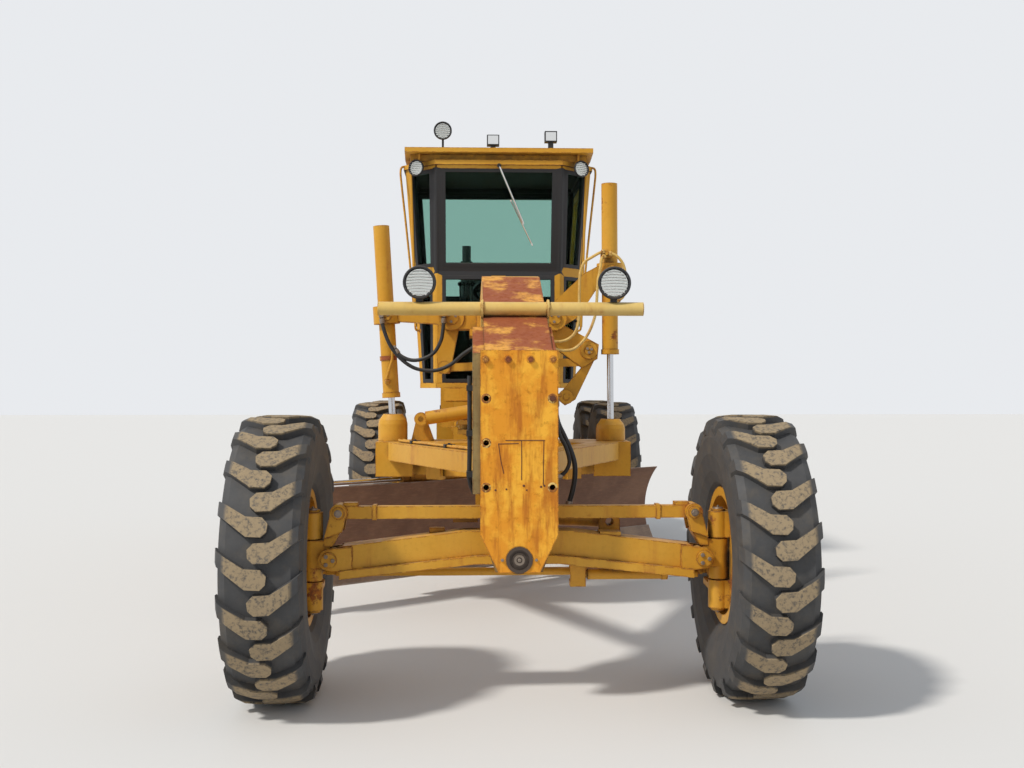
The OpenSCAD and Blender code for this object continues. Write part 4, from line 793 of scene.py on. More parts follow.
class GRADER_OT_solids(bpy.types.Operator):
    """Give every solid its finish and smooth its round faces"""

    bl_idname = "grader.solids"
    bl_label = "Finish the solids"

    def execute(self, context):
        make_materials()
        for finish, names in NODE_FINISH.items():
            for name in names.split():
                obj = NODES[name]
                obj.data.materials.clear()
                obj.data.materials.append(MATS[finish])
        for obj in NODES.values():
            obj.data.shade_smooth()
            obj.data.set_sharp_from_angle(angle=math.radians(30))
        rules = {
            "main_frame": self.frame_face,
            "front_plate": self.plate_face,
            "cab_shell": self.shell_face,
            "cab_roof": self.roof_face,
            "work_lamps": functools.partial(self.lamp_face, lamp_spots()),
            "lift_barrel_left": self.ram_face,
            "lift_barrel_right": self.ram_face,
        }
        for name, eye in ROD_EYES.items():
            rules[name] = functools.partial(self.eye_face, Vector(eye))
        for name, rule in rules.items():
            self.repaint(NODES[name], rule)
        return {"FINISHED"}

    def repaint(self, obj, rule):
        """Give each face the finish that the rule names, or leave it in the solid's own."""
        slots = {}
        for face in obj.data.polygons:
            finish = rule(face.center, face.normal)
            if finish is None:
                continue
            if finish not in slots:
                obj.data.materials.append(MATS[finish])
                slots[finish] = len(obj.data.materials) - 1
            face.material_index = slots[finish]

    def frame_face(self, at, normal):
        """The bare nose, and the khaki side of the post."""
        if at.y < 0.85 and normal.z > 0.5 and at.z > 1.62:
            return "nose"
        if at.y < 0.3 and (normal.x < -0.9 or at.y < -0.2 and normal.y < -0.9):
            return "khaki"
        return None

    def ram_face(self, at, normal):
        """Rusty caps on the lift cylinders."""
        return "rust" if normal.z > 0.9 else None

    def eye_face(self, eye, at, normal):
        """Painted eyes at the ends of the bright rods."""
        return "paint" if (at - eye).length < EYE_R else None

    def plate_face(self, at, normal):
        """The pivot pin and its ring stay dark."""
        return "dark_steel" if math.hypot(at.x, at.z - PIVOT_Z) < PIVOT_RING_R else None

    def shell_face(self, at, normal):
        """Dark lining inside the cab, and dark posts beside the middle pane."""
        inward = normal.dot(at - Vector((0, 4.15, 2.4)))
        if inward < 0 and at.z > FLOOR_Z:
            return "lining"
        if at.y < 3.72 and abs(at.x) < 0.53 and KINK_Z - 0.06 < at.z < EAVE_Z - 0.05:
            return "trim"
        return None

    def roof_face(self, at, normal):
        """Lining under the roof, black lamp housings on and below it."""
        if at.z > EAVE_Z + 0.116 and at.y < 3.5:
            return "trim"
        if at.z < EAVE_Z + 0.02 and abs(at.x) > 0.5 and at.y < 3.5:
            return "trim"
        if normal.z < -0.5 and at.z < EAVE_Z + 0.03 and abs(at.x) < 0.6 and 3.55 < at.y < 4.7:
            return "lining"
        return None

    def lamp_face(self, spots, at, normal):
        """The lenses are the thin discs at the lamps' mouths."""
        for spot, axis, r in spots:
            off = at - spot
            along = off.dot(axis)
            if off.length < r and -0.0099 < along < 0.0:
                return "lens"
        return None


def lamp_spots():
    """Middle of the mouth, direction and radius of every round lamp."""
    heads = [v.co for v in NODES["work_lamps"].data.vertices if v.co.z < 2.3]
    mouth_y = min(co.y for co in heads)
    head_z = max(co.z for co in heads) - HEAD_R
    front = Vector((0, -1, 0))
    spots = [(Vector((x, mouth_y, head_z)), front, HEAD_R) for x in (-0.48, 0.5)]
    spots.append((Vector((-0.438, 3.41, ROOF_Z + 0.235)), front, 0.07))
    for s in (-1, 1):
        turn = math.radians(25) * s
        face = Vector((math.sin(turn), -math.cos(turn), 0))
        spots.append((Vector((s * 0.622, 3.44, ROOF_Z - 0.062)) + face * 0.06, face, 0.064))
    return spots


def pane_corners():
    """Corners of every fixed pane, from the sizes of the cab."""

    def side_x(z):
        return CAB_X + (z - FLOOR_Z) * math.tan(WALL_TILT)

    def front_y(z):
        return CAB_Y - max(0.0, z - KINK_Z) * FRONT_LEAN / (EAVE_Z - KINK_Z)

    def corner_y(z):
        return front_y(z) + (side_x(z) - PANE_X) * CORNER_TURN

    def mid(z, s, x=PANE_X):
        return Vector((s * x, front_y(z), z))

    def edge(z, s):
        return Vector((s * side_x(z), corner_y(z), z))

    def back(z, s):
        return Vector((s * side_x(z), CAB_BACK_Y, z))

    top, kink, low = EAVE_Z, KINK_Z, FLOOR_Z + 0.005
    sill, post = 2.25, 0.02
    return {
        "screen": [mid(top, -1), mid(top, 1), mid(kink, 1), mid(kink, -1)],
        "corner_left": [mid(top, 1), edge(top, 1), edge(kink, 1), mid(kink, 1)],
        "corner_right": [edge(top, -1), mid(top, -1), mid(kink, -1), edge(kink, -1)],
        "low_corner_left": [mid(kink, 1), edge(kink, 1), edge(low, 1), mid(low, 1)],
        "low_corner_right": [edge(kink, -1), mid(kink, -1), mid(low, -1), edge(low, -1)],
        "low_left": [mid(kink, 1, post), mid(kink, 1), mid(low, 1), mid(low, 1, post)],
        "low_right": [mid(kink, -1), mid(kink, -1, post), mid(low, -1, post), mid(low, -1)],
        "rear": [back(top, 1), back(top, -1), back(sill, -1), back(sill, 1)],
    }


def pulled_in(corners, d):
    """The pane's own corners, that far inside the panel's corners."""
    p = corners
    a = d / (p[1] - p[0]).length
    b = d / (p[3] - p[0]).length

    def at(u, v):
        return (1 - u) * (1 - v) * p[0] + u * (1 - v) * p[1] + u * v * p[2] + (1 - u) * v * p[3]

    return [at(a, b), at(1 - a, b), at(1 - a, 1 - b), at(a, 1 - b)]


class GRADER_OT_seals(bpy.types.Operator):
    """Black rubber seals round the panes, and the wiper on the middle one"""

    bl_idname = "grader.seals"
    bl_label = "Window seals and wiper"

    def execute(self, context):
        width = sizes().seal
        for name, corners in pane_corners().items():
            hole = pulled_in(corners, 0.0365)
            normal = (hole[1] - hole[0]).cross(hole[3] - hole[0])
            bm = bmesh.new()
            add_ring_frame(bm, hole, width, 0.0235, normal)
            make_piece("seal_" + name, bm, "trim", "front_frame", 0.003)
        self.wiper()
        return {"FINISHED"}

    def wiper(self):
        """Wiper parked down to the left of its pivot: mount, two-link arm and rubber lip."""
        corners = pane_corners()["screen"]
        top = (corners[0] + corners[1]) / 2
        down = (corners[3] - corners[0]).normalized()
        out = (corners[1] - corners[0]).cross(corners[3] - corners[0]).normalized()
        if out.y > 0:
            out = -out
        left = Vector((1, 0, 0))
        pivot = top + down * 0.012 + out * 0.04
        tip = pivot + left * 0.27 + down * sizes().wiper
        mount = bmesh.new()
        add_rod(mount, pivot - out * 0.03, pivot + out * 0.014, 0.016)
        add_rod(mount, pivot + out * 0.013, pivot + out * 0.02, 0.009, 12)
        make_piece("wiper_mount", mount, "trim", "front_frame")
        arm = bmesh.new()
        bow = [pivot + out * 0.008, pivot.lerp(tip, 0.3) + out * 0.012, pivot.lerp(tip, 0.72) + out * 0.006]
        add_tube(arm, bow, 0.0075, 8)
        aside = (left * 0.92 - down * 0.4) * -0.022
        for k in (0.42, 0.72, 0.98):
            p = pivot.lerp(tip, k) + aside * (1.0 if k < 0.5 else 0.15)
            add_rod(arm, p - out * 0.009, p + out * 0.008, 0.007, 10)
        add_rod(arm, pivot.lerp(tip, 0.42) + aside, tip + aside * 0.15, 0.0055, 8)
        make_piece("wiper_arm", arm, "silver", "front_frame")
        lip = bmesh.new()
        add_rod(lip, pivot.lerp(tip, 0.41) + aside - out * 0.012, tip + aside * 0.1 - out * 0.012, 0.006, 8)
        make_piece("wiper_blade", lip, "rubber", "front_frame")


class GRADER_OT_lamps(bpy.types.Operator):
    """Lenses, rims and reflectors of the headlamps and cab lamps, and the rear lamps"""

    bl_idname = "grader.lamps"
    bl_label = "Lamps"

    def execute(self, context):
        self.front_lamps()
        self.square_lamps()
        self.rear_lamps()
        return {"FINISHED"}

    def round_lamp(self, name, at, r, axis, ribs):
        """Bowl and bulb behind the lens, ribs on it and a rim around it; at is the middle of the mouth."""
        bm = bmesh.new()
        bowl = [(0, -0.0445), (r * 0.4, -0.0442), (r * 0.8, -0.0106)]
        add_lathe(bm, [*bowl, (r * 0.84, -0.0106), (r * 0.8, -0.0104)], at, axis, 40)
        make_piece(name + "_bowl", bm, "silver", "front_frame", angle=50)
        bm = bmesh.new()
        bulb = [(r * 0.08, -0.044), (r * 0.1, -0.026), (r * 0.07, -0.018), (0, -0.015)]
        add_lathe(bm, bulb, at, axis, 16)
        make_piece(name + "_bulb", bm, "lens", "front_frame")
        bm = bmesh.new()
        side = axis.cross(Vector((0, 0, 1))).normalized()
        up = side.cross(axis).normalized()
        for i in range(ribs):
            h = (i - (ribs - 1) / 2) * r * 1.6 / ribs
            half = math.sqrt(max(0.0, (r * 0.84) ** 2 - h * h))
            line = []
            for k in range(-2, 3):
                bow = -0.05 * r * (k / 2) ** 2
                line.append(at + up * (h + bow) + side * (half * 0.97 * k / 2) - axis * 0.001)
            add_tube(bm, line, 0.0022, 6)
        make_piece(name + "_ribs", bm, "silver", "front_frame")
        bm = bmesh.new()
        rim = [(r * 0.86, -0.001), (r * 0.9, 0.0035), (r * 0.97, 0.0035), (r * 1.015, -0.001)]
        rim += [(r * 1.015, -0.012), (r, -0.012), (r * 0.985, -0.002), (r * 0.87, -0.002)]
        add_ring(bm, rim, at, axis)
        make_piece(name + "_rim", bm, "trim", "front_frame")

    def front_lamps(self):
        """The two headlamps, the round roof lamp and the lamps under the corners of the roof."""
        names = ("headlamp_right", "headlamp_left", "roof_lamp", "corner_lamp_right", "corner_lamp_left")
        for name, (at, axis, r) in zip(names, lamp_spots()):
            self.round_lamp(name, at, r, axis, 9 if name.startswith("head") else 7)

    def square_lamps(self):
        """Ribbed lenses of the two square lamps on the roof."""
        y = 3.3825
        for i, (x, low) in enumerate(((-0.046, 0.119), (0.405, 0.149))):
            bm = bmesh.new()
            z = ROOF_Z + low
            add_box(bm, x - 0.04, x + 0.04, y, y + 0.0035, z + 0.008, z + 0.074)
            for k in range(5):
                at = x - 0.032 + k * 0.016
                add_rod(bm, (at, y, z + 0.012), (at, y, z + 0.07), 0.0022, 6)
            make_piece(f"square_lamp_{i}_lens", bm, "silver", "front_frame")

    def rear_lamps(self):
        """A box with a red and an amber lens on each side of the tail."""
        for s, side in ((1, "left"), (-1, "right")):
            x = s * HOOD_X
            bm = bmesh.new()
            add_box(bm, x - 0.05, x + 0.05, 7.52, 7.55, 1.162, 1.262)
            make_piece("rear_lamp_box_" + side, bm, "trim", "rear_frame", 0.004)
            for k, lens in enumerate(("red", "amber")):
                z = 1.168 + k * 0.048
                bm = bmesh.new()
                add_box(bm, x - 0.042, x + 0.042, 7.549, 7.558, z, z + 0.04)
                make_piece(f"rear_lamp_{lens}_{side}", bm, lens, "rear_frame", 0.003)


class GRADER_OT_front_details(bpy.types.Operator):
    """Weld beads, plugs, pins and bolts of the front plate, nose, arms and axle"""

    bl_idname = "grader.front_details"
    bl_label = "Front details"

    def execute(self, context):
        self.plate()
        self.header_bolts()
        self.pin_bolts()
        self.pivot_face()
        self.cab_rails()
        self.axle_bolts()
        self.grease_points()
        return {"FINISHED"}

    def plate(self):
        """Weld seams of a closed hatch, plugs of the top row, rims of the bolt holes and one bolt."""
        face = PLATE_Y - 0.0002
        ahead = (0, -1, 0)
        hole_x, hole_z, hole_step = 0.153, 1.452, 0.205
        bm = bmesh.new()
        seams = (
            [(-0.0643, 1.2588), (0.02, 1.2592), (0.118, 1.2588)],
            [(-0.0983, 1.2427), (-0.05, 1.2436), (-0.0035, 1.245)],
            [(0.0098, 1.2588), (0.0105, 1.16), (0.0098, 1.0765)],
            [(-0.096, 1.2427), (-0.086, 1.17), (-0.0721, 1.1064)],
            [(0.1129, 1.2588), (0.1108, 1.15), (0.1102, 1.0535)],
        )
        for seam in seams:
            add_tube(bm, [(x, face - 0.0002, z) for x, z in seam], 0.002, 6)
        for x, z in ((-0.11, 1.03), (-0.06, 1.034), (0.02, 1.05), (0.034, 1.03), (0.1, 1.045), (0.115, 1.05)):
            spot = random.uniform(0.004, 0.007)
            add_lathe(bm, [(spot, 0), (spot * 0.7, 0.002), (0, 0.003)], (x, face, z), ahead, 10)
        make_piece("plate_welds", bm, "rust", "front_frame")
        bm = bmesh.new()
        plug = [(0.0135, 0.0), (0.013, 0.002), (0.009, 0.003), (0.0085, 0.0012), (0, 0.001)]
        for i in (-1.5, -0.5, 0.5, 1.5):
            add_lathe(bm, plug, (i * 0.104, face - 0.0142, 1.632), ahead, 24)
        make_piece("plate_plugs", bm, "nose", "front_frame")
        rim = [(0.0137, 0.0), (0.0145, 0.0012), (0.021, 0.001), (0.023, 0.0)]
        for s, row in ((-1, 0), (-1, 1), (-1, 2), (1, 0), (1, 2)):
            bm = bmesh.new()
            add_ring(bm, rim, Vector((s * hole_x, face, hole_z - row * hole_step)), ahead, 28)
            side = "r" if s < 0 else "l"
            make_piece(f"plate_hole_rim_{side}{row}", bm, "cream", "front_frame")
        bm = bmesh.new()
        add_bolt(bm, (hole_x, face + 0.002, hole_z), ahead, 0.026, 0.012, False)
        make_piece("plate_bolt", bm, "rust", "front_frame")

    def pivot_face(self):
        """Worn ring and bolt on the end of the axle's pivot pin."""
        bm = bmesh.new()
        at = Vector((0, PLATE_Y - 0.0042, PIVOT_Z))
        add_ring(bm, [(0.013, 0.0), (0.0135, 0.004), (0.024, 0.005), (0.025, 0.0)], at, (0, -1, 0), 32)
        add_lathe(bm, [(0.009, 0.0), (0.009, 0.006), (0.006, 0.0075), (0, 0.0075)], at, (0, -1, 0), 16)
        make_piece("pivot_pin_face", bm, "steel", "front_frame")

    def cab_rails(self):
        """Grab rails in front of both doors."""
        route = [
            (0.725, 3.64, 3.262), (0.766, 3.62, 3.258), (0.778, 3.615, 3.215), (0.768, 3.615, 3.1),
            (0.735, 3.615, 2.8), (0.704, 3.615, 2.5), (0.676, 3.615, 2.2), (0.662, 3.615, 2.02),
            (0.655, 3.62, 1.965), (0.62, 3.64, 1.955),
        ]
        for s, side in ((-1, "right"), (1, "left")):
            bm = bmesh.new()
            add_tube(bm, [(s * x, y, z) for x, y, z in route], 0.0085, 10)
            for x, y, z in (route[0], route[-1]):
                add_lathe(bm, [(0.02, 0), (0.02, 0.006), (0.01, 0.01)], (s * x, y, z), (s, -0.3, 0), 16)
            make_piece("cab_rail_" + side, bm, "paint", "front_frame")

    def header_bolts(self):
        """Nine small bolts along the header above the middle pane."""
        bm = bmesh.new()
        for i in range(9):
            add_bolt(bm, (-0.4 + i * 0.1, 3.3995, EAVE_Z + 0.004), (0, -1, 0), 0.014, 0.006, False)
        make_piece("header_bolts", bm, "paint", "front_frame")

    def pin_bolts(self):
        """Bolts round the pins of the bell cranks."""
        bm = bmesh.new()
        for x, y, z, ring, count in (
            (-0.35, 2.2378, 1.978, 0.028, 3),
            (0.35, 2.2378, 1.978, 0.028, 3),
            (0.59, 2.2808, 1.76, 0.016, 3),
            (-0.403, 2.2948, 1.64, 0.026, 2),
        ):
            for k in range(count):
                a = 2 * math.pi * k / count + 0.4
                at = (x + ring * math.cos(a), y, z + ring * math.sin(a))
                add_bolt(bm, at, (0, -1, 0), 0.018, 0.008, False)
        for x, z in ((-0.8, 2.0), (0.74, 2.3)):
            for a in (-0.018, 0.018):
                add_bolt(bm, (x + a, 2.2598, z), (0, -1, 0), 0.018, 0.008)
        make_piece("crank_pin_bolts", bm, "steel", "front_frame")

    def axle_bolts(self):
        """Pin keepers at the leaning wheels, on the yokes that they hold."""
        for s, side in ((1, "left"), (-1, "right")):
            bm = bmesh.new()
            for y in (-0.0782, 0.0782):
                add_bolt(bm, (s * (LEAN_X - 0.043), y, LEAN_Z + 0.22), (0, y, 0), 0.026, 0.01)
            make_piece("lean_pin_bolts_" + side, bm, "steel", "lean_yoke_" + side)
            bm = bmesh.new()
            for y in (-0.104, 0.104):
                for k in range(3):
                    a = 2 * math.pi * k / 3
                    at = (s * LEAN_X + 0.022 * math.cos(a), y, LEAN_Z + 0.022 * math.sin(a))
                    add_bolt(bm, at, (0, y, 0), 0.018, 0.008, False)
            make_piece("axle_pin_bolts_" + side, bm, "steel", "front_frame")
            bm = bmesh.new()
            cap = [(0.026, 0), (0.024, 0.006), (0.006, 0.007), (0.005, 0.015), (0, 0.016)]
            for z, d in ((LEAN_Z + 0.232, 1), (LEAN_Z - 0.262, -1)):
                add_lathe(bm, cap, (s * KING_X, 0, z), (0, 0, d), 20)
            make_piece("kingpin_caps_" + side, bm, "steel", "knuckle_" + side)

    def grease_points(self):
        """A grease nipple on each side of the axle's pivot pin."""
        bm = bmesh.new()
        nipple = [(0.007, 0), (0.007, 0.005), (0.004, 0.006), (0.0045, 0.012), (0, 0.013)]
        for x in (-0.0784, 0.0784):
            add_lathe(bm, nipple, (x, PLATE_Y - 0.0003, PIVOT_Z), (0, -1, 0), 10)
        make_piece("pivot_grease_points", bm, "steel", "front_frame")


class GRADER_OT_hoses(bpy.types.Operator):
    """Hydraulic hoses and pipes at the nose, on the drawbar and round the lift cylinders"""

    bl_idname = "grader.hoses"
    bl_label = "Hoses and pipes"

    def execute(self, context):
        self.hoses()
        self.left_pipes()
        self.right_pipe()
        self.drawbar_pipes()
        self.post_pipes()
        return {"FINISHED"}

    def fitting(self, bm, at, direction, r, length=0.045):
        """Swaged sleeve and hexagon nut at a hose's end; direction points along the hose."""
        d = Vector(direction).normalized()
        at = Vector(at)
        sleeve = [(r * 0.6, 0.008), (r * 0.6, 0.014), (r, 0.016), (r, length), (r * 0.85, length + 0.004)]
        add_lathe(bm, [(r * 0.95, -0.012), (r * 0.95, 0.008)], at, d, 6)
        add_lathe(bm, sleeve, at, d, 20)

    def hoses(self):
        """The four hoses with a fitting at each end, and the brackets that hold them."""
        d = sizes().hose
        sleeves = bmesh.new()
        for name, route in HOSES.items():
            thin = d * (0.75 if name.endswith("thin") else 1.0)
            line = lay_hose(name, route, "front_frame", thin)
            self.fitting(sleeves, line[0], line[1] - line[0], thin * 0.68)
            self.fitting(sleeves, line[-1], line[-2] - line[-1], thin * 0.68)
        add_rod(sleeves, (-0.826, 2.262, 1.992), (-0.826, 2.22, 1.992), 0.0165, 6)
        make_piece("hose_fittings", sleeves, "steel", "front_frame")
        bm = bmesh.new()
        add_box(bm, -0.432, -0.372, 2.19, 2.3152, 1.985, 2.033)
        add_box(bm, 0.1775, 0.222, 0.03, 0.198, 1.455, 1.473)
        make_piece("hose_brackets", bm, "paint", "front_frame", 0.003)

    def left_pipes(self):
        """Yellow pipes from the block on the left lift cylinder down to the frame."""
        r = sizes().pipe / 2
        bm = bmesh.new()
        add_box(bm, 0.668, 0.742, 2.255, 2.306, 2.392, 2.442)
        add_rod(bm, (0.705, 2.256, 2.417), (0.705, 2.235, 2.417), 0.014, 6)
        make_piece("left_port_block", bm, "ram", "lift_barrel_left", 0.003)
        for i, route in enumerate(LEFT_PIPES):
            bm = bmesh.new()
            add_tube(bm, route, r, 12)
            for at, to in ((route[0], route[1]), (route[-1], route[-2])):
                way = (Vector(to) - Vector(at)).normalized()
                add_lathe(bm, [(r * 1.7, 0), (r * 1.7, 0.018), (r * 1.1, 0.022)], Vector(at), way, 6)
            body = "front_frame" if i < 2 else "lift_barrel_left"
            make_piece(f"left_pipe_{i}", bm, "pipe", body)

    def right_pipe(self):
        """Short pipe up the right lift cylinder, and the rusty band that holds it."""
        r = sizes().pipe / 2
        bm = bmesh.new()
        add_tube(bm, RIGHT_PIPE, r, 12)
        way = (Vector(RIGHT_PIPE[1]) - Vector(RIGHT_PIPE[0])).normalized()
        add_lathe(bm, [(r * 1.9, -0.006), (r * 1.9, 0.018), (r * 1.1, 0.022)], Vector(RIGHT_PIPE[0]), way, 6)
        make_piece("right_cylinder_pipe", bm, "ram", "lift_barrel_right")
        bm = bmesh.new()
        band = [(0.0556, 0), (0.059, 0), (0.059, 0.03), (0.0556, 0.03)]
        add_ring(bm, band, Vector((-0.787, 2.36, 1.72)), (0.06, 0, -1), 32)
        make_piece("right_cylinder_band", bm, "nose", "lift_barrel_right")

    def drawbar_pipes(self):
        """Two pipes clipped along the top of the right leg of the drawbar."""
        top = 1.137
        r = sizes().pipe * 0.45
        pipes, clips = bmesh.new(), bmesh.new()
        a, b = Vector((-0.05, 0.74, 0)), Vector((-0.655, 2.08, 0))
        along = (b - a).normalized()
        across = Vector((-along.y, along.x, 0))
        for k in (-1, 1):
            shift = across * (0.016 * k) + Vector((0, 0, top + r + 0.002))
            line = [a.lerp(b, t) + shift for t in (0.0, 0.25, 0.5, 0.75, 1.0)]
            line.append(line[-1] + Vector((-0.03, 0.07, 0.004)))
            add_tube(pipes, line, r, 10)
        for t in (0.12, 0.5, 0.88):
            at = a.lerp(b, t) + Vector((0, 0, top + 0.011))
            turn = Matrix.Rotation(math.atan2(along.y, along.x), 4, "Z")
            add_block(clips, Matrix.Translation(at) @ turn, (0.03, 0.066, 0.024))
            add_bolt(clips, at + Vector((0, 0, 0.012)), (0, 0, 1), 0.015, 0.007, False)
        make_piece("drawbar_pipes", pipes, "paint", "drawbar")
        make_piece("drawbar_pipe_clips", clips, "trim", "drawbar", 0.002)

    def post_pipes(self):
        """Black pipes down the right side of the post."""
        bm = bmesh.new()
        for k, x in enumerate((-0.2285, -0.2295)):
            y = 0.02 + k * 0.05
            line = [(x, y, 1.56), (x, y, 1.4), (x, y, 1.2), (x, y + 0.01, 1.05), (x + 0.02, y + 0.03, 0.985)]
            add_tube(bm, line, 0.011, 10)
        for z in (1.5, 1.28, 1.08):
            add_box(bm, -0.245, -0.2152, -0.005, 0.085, z - 0.014, z + 0.014)
        make_piece("post_pipes", bm, "trim", "front_frame")


class GRADER_OT_hood(bpy.types.Operator):
    """Gaps, hinges and latches of the hood's side doors"""

    bl_idname = "grader.hood"
    bl_label = "Hood doors"

    def execute(self, context):
        for s, side in ((1, "left"), (-1, "right")):
            gaps, hinges, latches = bmesh.new(), bmesh.new(), bmesh.new()
            for y0, y1, top in ((5.33, 6.25, 2.1), (6.29, 7.25, 2.08)):
                self.gaps(gaps, s, y0, y1, 1.205, top)
                for t in (0.15, 0.5, 0.85):
                    self.hinge(hinges, s, y0 + (y1 - y0) * t, top + 0.002)
                for t in (0.2, 0.8):
                    y = y0 + (y1 - y0) * t
                    self.flat(latches, s, 0, 0.006, y - 0.03, y + 0.03, 1.25, 1.36)
                    self.flat(latches, s, 0.006, 0.014, y - 0.016, y + 0.016, 1.27, 1.335)
            make_piece("hood_gaps_" + side, gaps, "lining", "rear_frame")
            make_piece("hood_hinges_" + side, hinges, "paint", "rear_frame", 0.001)
            make_piece("hood_latches_" + side, latches, "trim", "rear_frame", 0.0015)
        return {"FINISHED"}

    def flat(self, bm, s, low, high, y0, y1, z0, z1):
        """A box on the hood's side s, which stands out from low to high."""
        x0, x1 = sorted((s * (HOOD_X + low), s * (HOOD_X + high)))
        add_box(bm, x0, x1, y0, y1, z0, z1)

    def gaps(self, bm, s, y0, y1, low, top):
        """Thin dark lines along the four edges of a door."""
        wide = 0.005
        for a, b, c, d in (
            (y0, y1, low, low + wide),
            (y0, y1, top - wide, top),
            (y0, y0 + wide, low, top),
            (y1 - wide, y1, low, top),
        ):
            self.flat(bm, s, 0, 0.0006, a, b, c, d)

    def hinge(self, bm, s, y, z):
        """Barrel of a hinge and its leaf below."""
        x = s * (HOOD_X + 0.008)
        add_rod(bm, (x, y - 0.045, z), (x, y + 0.045, z), 0.0085, 12)
        self.flat(bm, s, 0, 0.004, y - 0.04, y + 0.04, z - 0.042, z)


class GRADER_OT_seat(bpy.types.Operator):
    """Driver's seat with crowned cushions in place of the plain solid"""

    bl_idname = "grader.seat"
    bl_label = "Driver's seat"

    def execute(self, context):
        z = FLOOR_Z + 0.0403
        bm = bmesh.new()
        add_box(bm, -0.2, 0.2, 4.15, 4.56, z, z + 0.05)
        for k in range(5):
            half, low = 0.13 - k * 0.004, z + 0.05 + k * 0.055
            add_box(bm, -half, half, 4.2, 4.5, low, low + 0.05)
        add_box(bm, -0.23, 0.23, 4.11, 4.55, z + 0.325, z + 0.345)
        base = make_piece("seat_base", bm, "trim", "front_frame", 0.006)
        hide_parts("seat")
        cushion = self.cushion("seat_cushion", 0.24, 0.23, 0.055, Matrix.Translation((0, 4.33, z + 0.4)))
        tilt = Matrix.Translation((0, 4.575, z + 0.75)) @ Matrix.Rotation(math.radians(-97), 4, "X")
        back = self.cushion("seat_back", 0.235, 0.31, 0.042, tilt)
        bm = bmesh.new()
        for s in (-1, 1):
            post = [(s * 0.262, 4.5, z + 0.38), (s * 0.275, 4.5, z + 0.5), (s * 0.28, 4.47, z + 0.575)]
            add_tube(bm, post, 0.014)
            add_box(bm, s * 0.28 - 0.028, s * 0.28 + 0.028, 4.2, 4.52, z + 0.565, z + 0.605)
        make_piece("seat_arms", bm, "trim", "front_frame", 0.008)
        return {"FINISHED"}

    def cushion(self, name, half_x, half_y, half_z, place):
        """A crowned pad: its top swells, its sides pull in between the corners."""
        bm = bmesh.new()
        n = 10
        layers = []
        for side in (-1, 1):
            grid = []
            for i in range(n + 1):
                row = []
                for j in range(n + 1):
                    u, v = 2 * i / n - 1, 2 * j / n - 1
                    pull = 1 - 0.05 * (1 - u * u) * v * v - 0.05 * (1 - v * v) * u * u
                    crown = (1 - u**4) * (1 - v**4)
                    seam = 0.0
                    for at in (-0.42, 0.42):
                        seam += 0.16 * math.exp(-(((v - at) / 0.07) ** 2))
                    z = side * half_z * (0.45 + 0.55 * crown - (seam if side > 0 else 0.0) * crown)
                    row.append(bm.verts.new((u * half_x * pull, v * half_y * pull, z)))
                grid.append(row)
            layers.append(grid)
        low, high = layers
        for i in range(n):
            for j in range(n):
                bm.faces.new((high[i][j], high[i + 1][j], high[i + 1][j + 1], high[i][j + 1]))
                bm.faces.new((low[i][j], low[i][j + 1], low[i + 1][j + 1], low[i + 1][j]))
        edges = []
        for grid in layers:
            edge = [grid[i][0] for i in range(n)] + [grid[n][j] for j in range(n)]
            edge += [grid[i][n] for i in range(n, 0, -1)] + [grid[0][j] for j in range(n, 0, -1)]
            edges.append(edge)
        edge_low, edge_high = edges
        k = len(edge_low)
        for i in range(k):
            j = (i + 1) % k
            bm.faces.new((edge_low[i], edge_low[j], edge_high[j], edge_high[i]))
        bmesh.ops.transform(bm, matrix=place, verts=bm.verts)
        obj = make_piece(name, bm, "cloth", "front_frame", 0.0, 180)
        m = obj.modifiers.new("soft", "SUBSURF")
        m.levels = m.render_levels = 2
        return obj


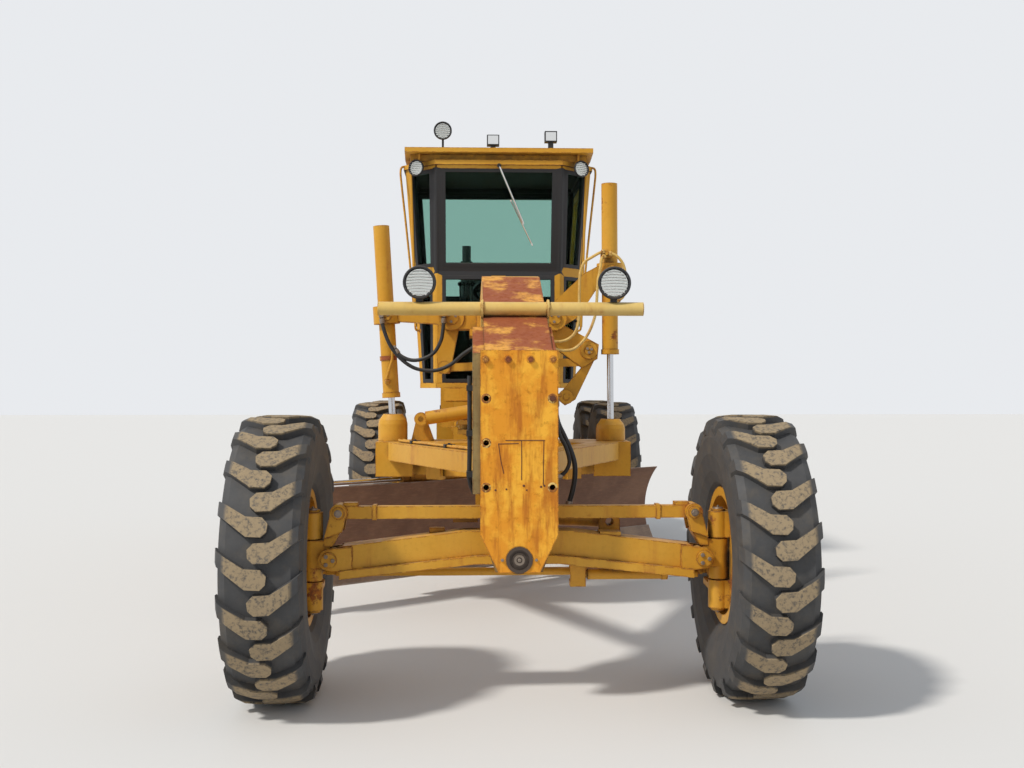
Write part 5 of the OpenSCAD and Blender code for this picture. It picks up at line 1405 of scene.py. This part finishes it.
class GRADER_OT_stage(bpy.types.Operator):
    """Pale floor, soft lamps and the camera"""

    bl_idname = "grader.stage"
    bl_label = "Stage"

    def execute(self, context):
        scene = context.scene
        scene.view_settings.view_transform = "Standard"
        self.floor()
        self.lights(scene)
        self.camera(scene)
        return {"FINISHED"}

    def floor(self):
        """Plain pale ground under the wheels."""
        mesh = bpy.data.meshes.new("floor")
        half = 60.0
        corners = [(-half, -half, 0), (half, -half, 0), (half, half, 0), (-half, half, 0)]
        mesh.from_pydata(corners, [], [(0, 1, 2, 3)])
        obj = bpy.data.objects.new("floor", mesh)
        bpy.context.collection.objects.link(obj)
        m, _, shader = new_material("floor")
        shader.inputs["Base Color"].default_value = (*colours().floor, 1.0)
        shader.inputs["Roughness"].default_value = 0.85
        mesh.materials.append(m)

    def lights(self, scene):
        """Soft sky, a pale background for the camera, and a low sun from the front right."""
        world = bpy.data.worlds.new("soft light")
        scene.world = world
        world.use_nodes = True
        world.node_tree.nodes.clear()
        w = Wiring(world.node_tree)
        out = w.node("ShaderNodeOutputWorld")
        path = w.node("ShaderNodeLightPath")
        seen = w.math("MAXIMUM", path.outputs["Is Camera Ray"], path.outputs["Is Glossy Ray"])
        seen = w.math("MAXIMUM", seen, path.outputs["Is Transmission Ray"])
        soft = w.node("ShaderNodeBackground")
        w.put(soft.inputs["Color"], (0.86, 0.92, 1.0))
        soft.inputs["Strength"].default_value = 0.55
        pale = w.node("ShaderNodeBackground")
        w.put(pale.inputs["Color"], (0.9, 0.92, 0.95))
        pale.inputs["Strength"].default_value = 0.9
        join = w.node("ShaderNodeMixShader")
        w.put(join.inputs[0], seen)
        world.node_tree.links.new(soft.outputs[0], join.inputs[1])
        world.node_tree.links.new(pale.outputs[0], join.inputs[2])
        world.node_tree.links.new(join.outputs[0], out.inputs[0])
        sun = bpy.data.lights.new("sun", "SUN")
        sun.energy = 2.6
        sun.angle = math.radians(6)
        sun.color = (1.0, 0.96, 0.9)
        obj = bpy.data.objects.new("sun", sun)
        obj.rotation_euler = Vector((-0.75, -0.5, 1.0)).to_track_quat("Z", "Y").to_euler()
        bpy.context.collection.objects.link(obj)

    def camera(self, scene):
        """The view of the photograph: 5.64 m ahead of the front axle, 1.5 m above the ground."""
        cam = bpy.data.cameras.new("camera")
        cam.lens = 40.8
        cam.sensor_width = 36.0
        cam.clip_end = 300
        obj = bpy.data.objects.new("camera", cam)
        obj.location = (-0.23, -5.64, 1.5)
        obj.rotation_euler = (math.radians(90.2), 0.0, math.radians(-2.1))
        bpy.context.collection.objects.link(obj)
        scene.camera = obj


OPERATORS = (
    GRADER_OT_solids,
    GRADER_OT_seals,
    GRADER_OT_lamps,
    GRADER_OT_front_details,
    GRADER_OT_hoses,
    GRADER_OT_hood,
    GRADER_OT_seat,
    GRADER_OT_stage,
)


class GRADER_PT_panel(bpy.types.Panel):
    """Sizes, colours and steps of the grader"""

    bl_idname = "GRADER_PT_panel"
    bl_label = "Grader"
    bl_space_type = "VIEW_3D"
    bl_region_type = "UI"
    bl_category = "Grader"

    def draw(self, context):
        for group in (context.scene.grader_sizes, context.scene.grader_colours):
            for name in group.bl_rna.properties.keys():
                if name not in ("rna_type", "name"):
                    self.layout.prop(group, name)
        for op in OPERATORS:
            self.layout.operator(op.bl_idname)


CLASSES = (GraderColours, GraderSizes, *OPERATORS, GRADER_PT_panel)


def register():
    for c in CLASSES:
        bpy.utils.register_class(c)
    bpy.types.Scene.grader_colours = bpy.props.PointerProperty(type=GraderColours)
    bpy.types.Scene.grader_sizes = bpy.props.PointerProperty(type=GraderSizes)


def unregister():
    del bpy.types.Scene.grader_colours
    del bpy.types.Scene.grader_sizes
    for c in reversed(CLASSES):
        bpy.utils.unregister_class(c)


def main():
    register()
    random.seed(7)
    for op in OPERATORS:
        getattr(bpy.ops.grader, op.bl_idname.split(".")[1])()


if __name__ == "__main__":
    main()
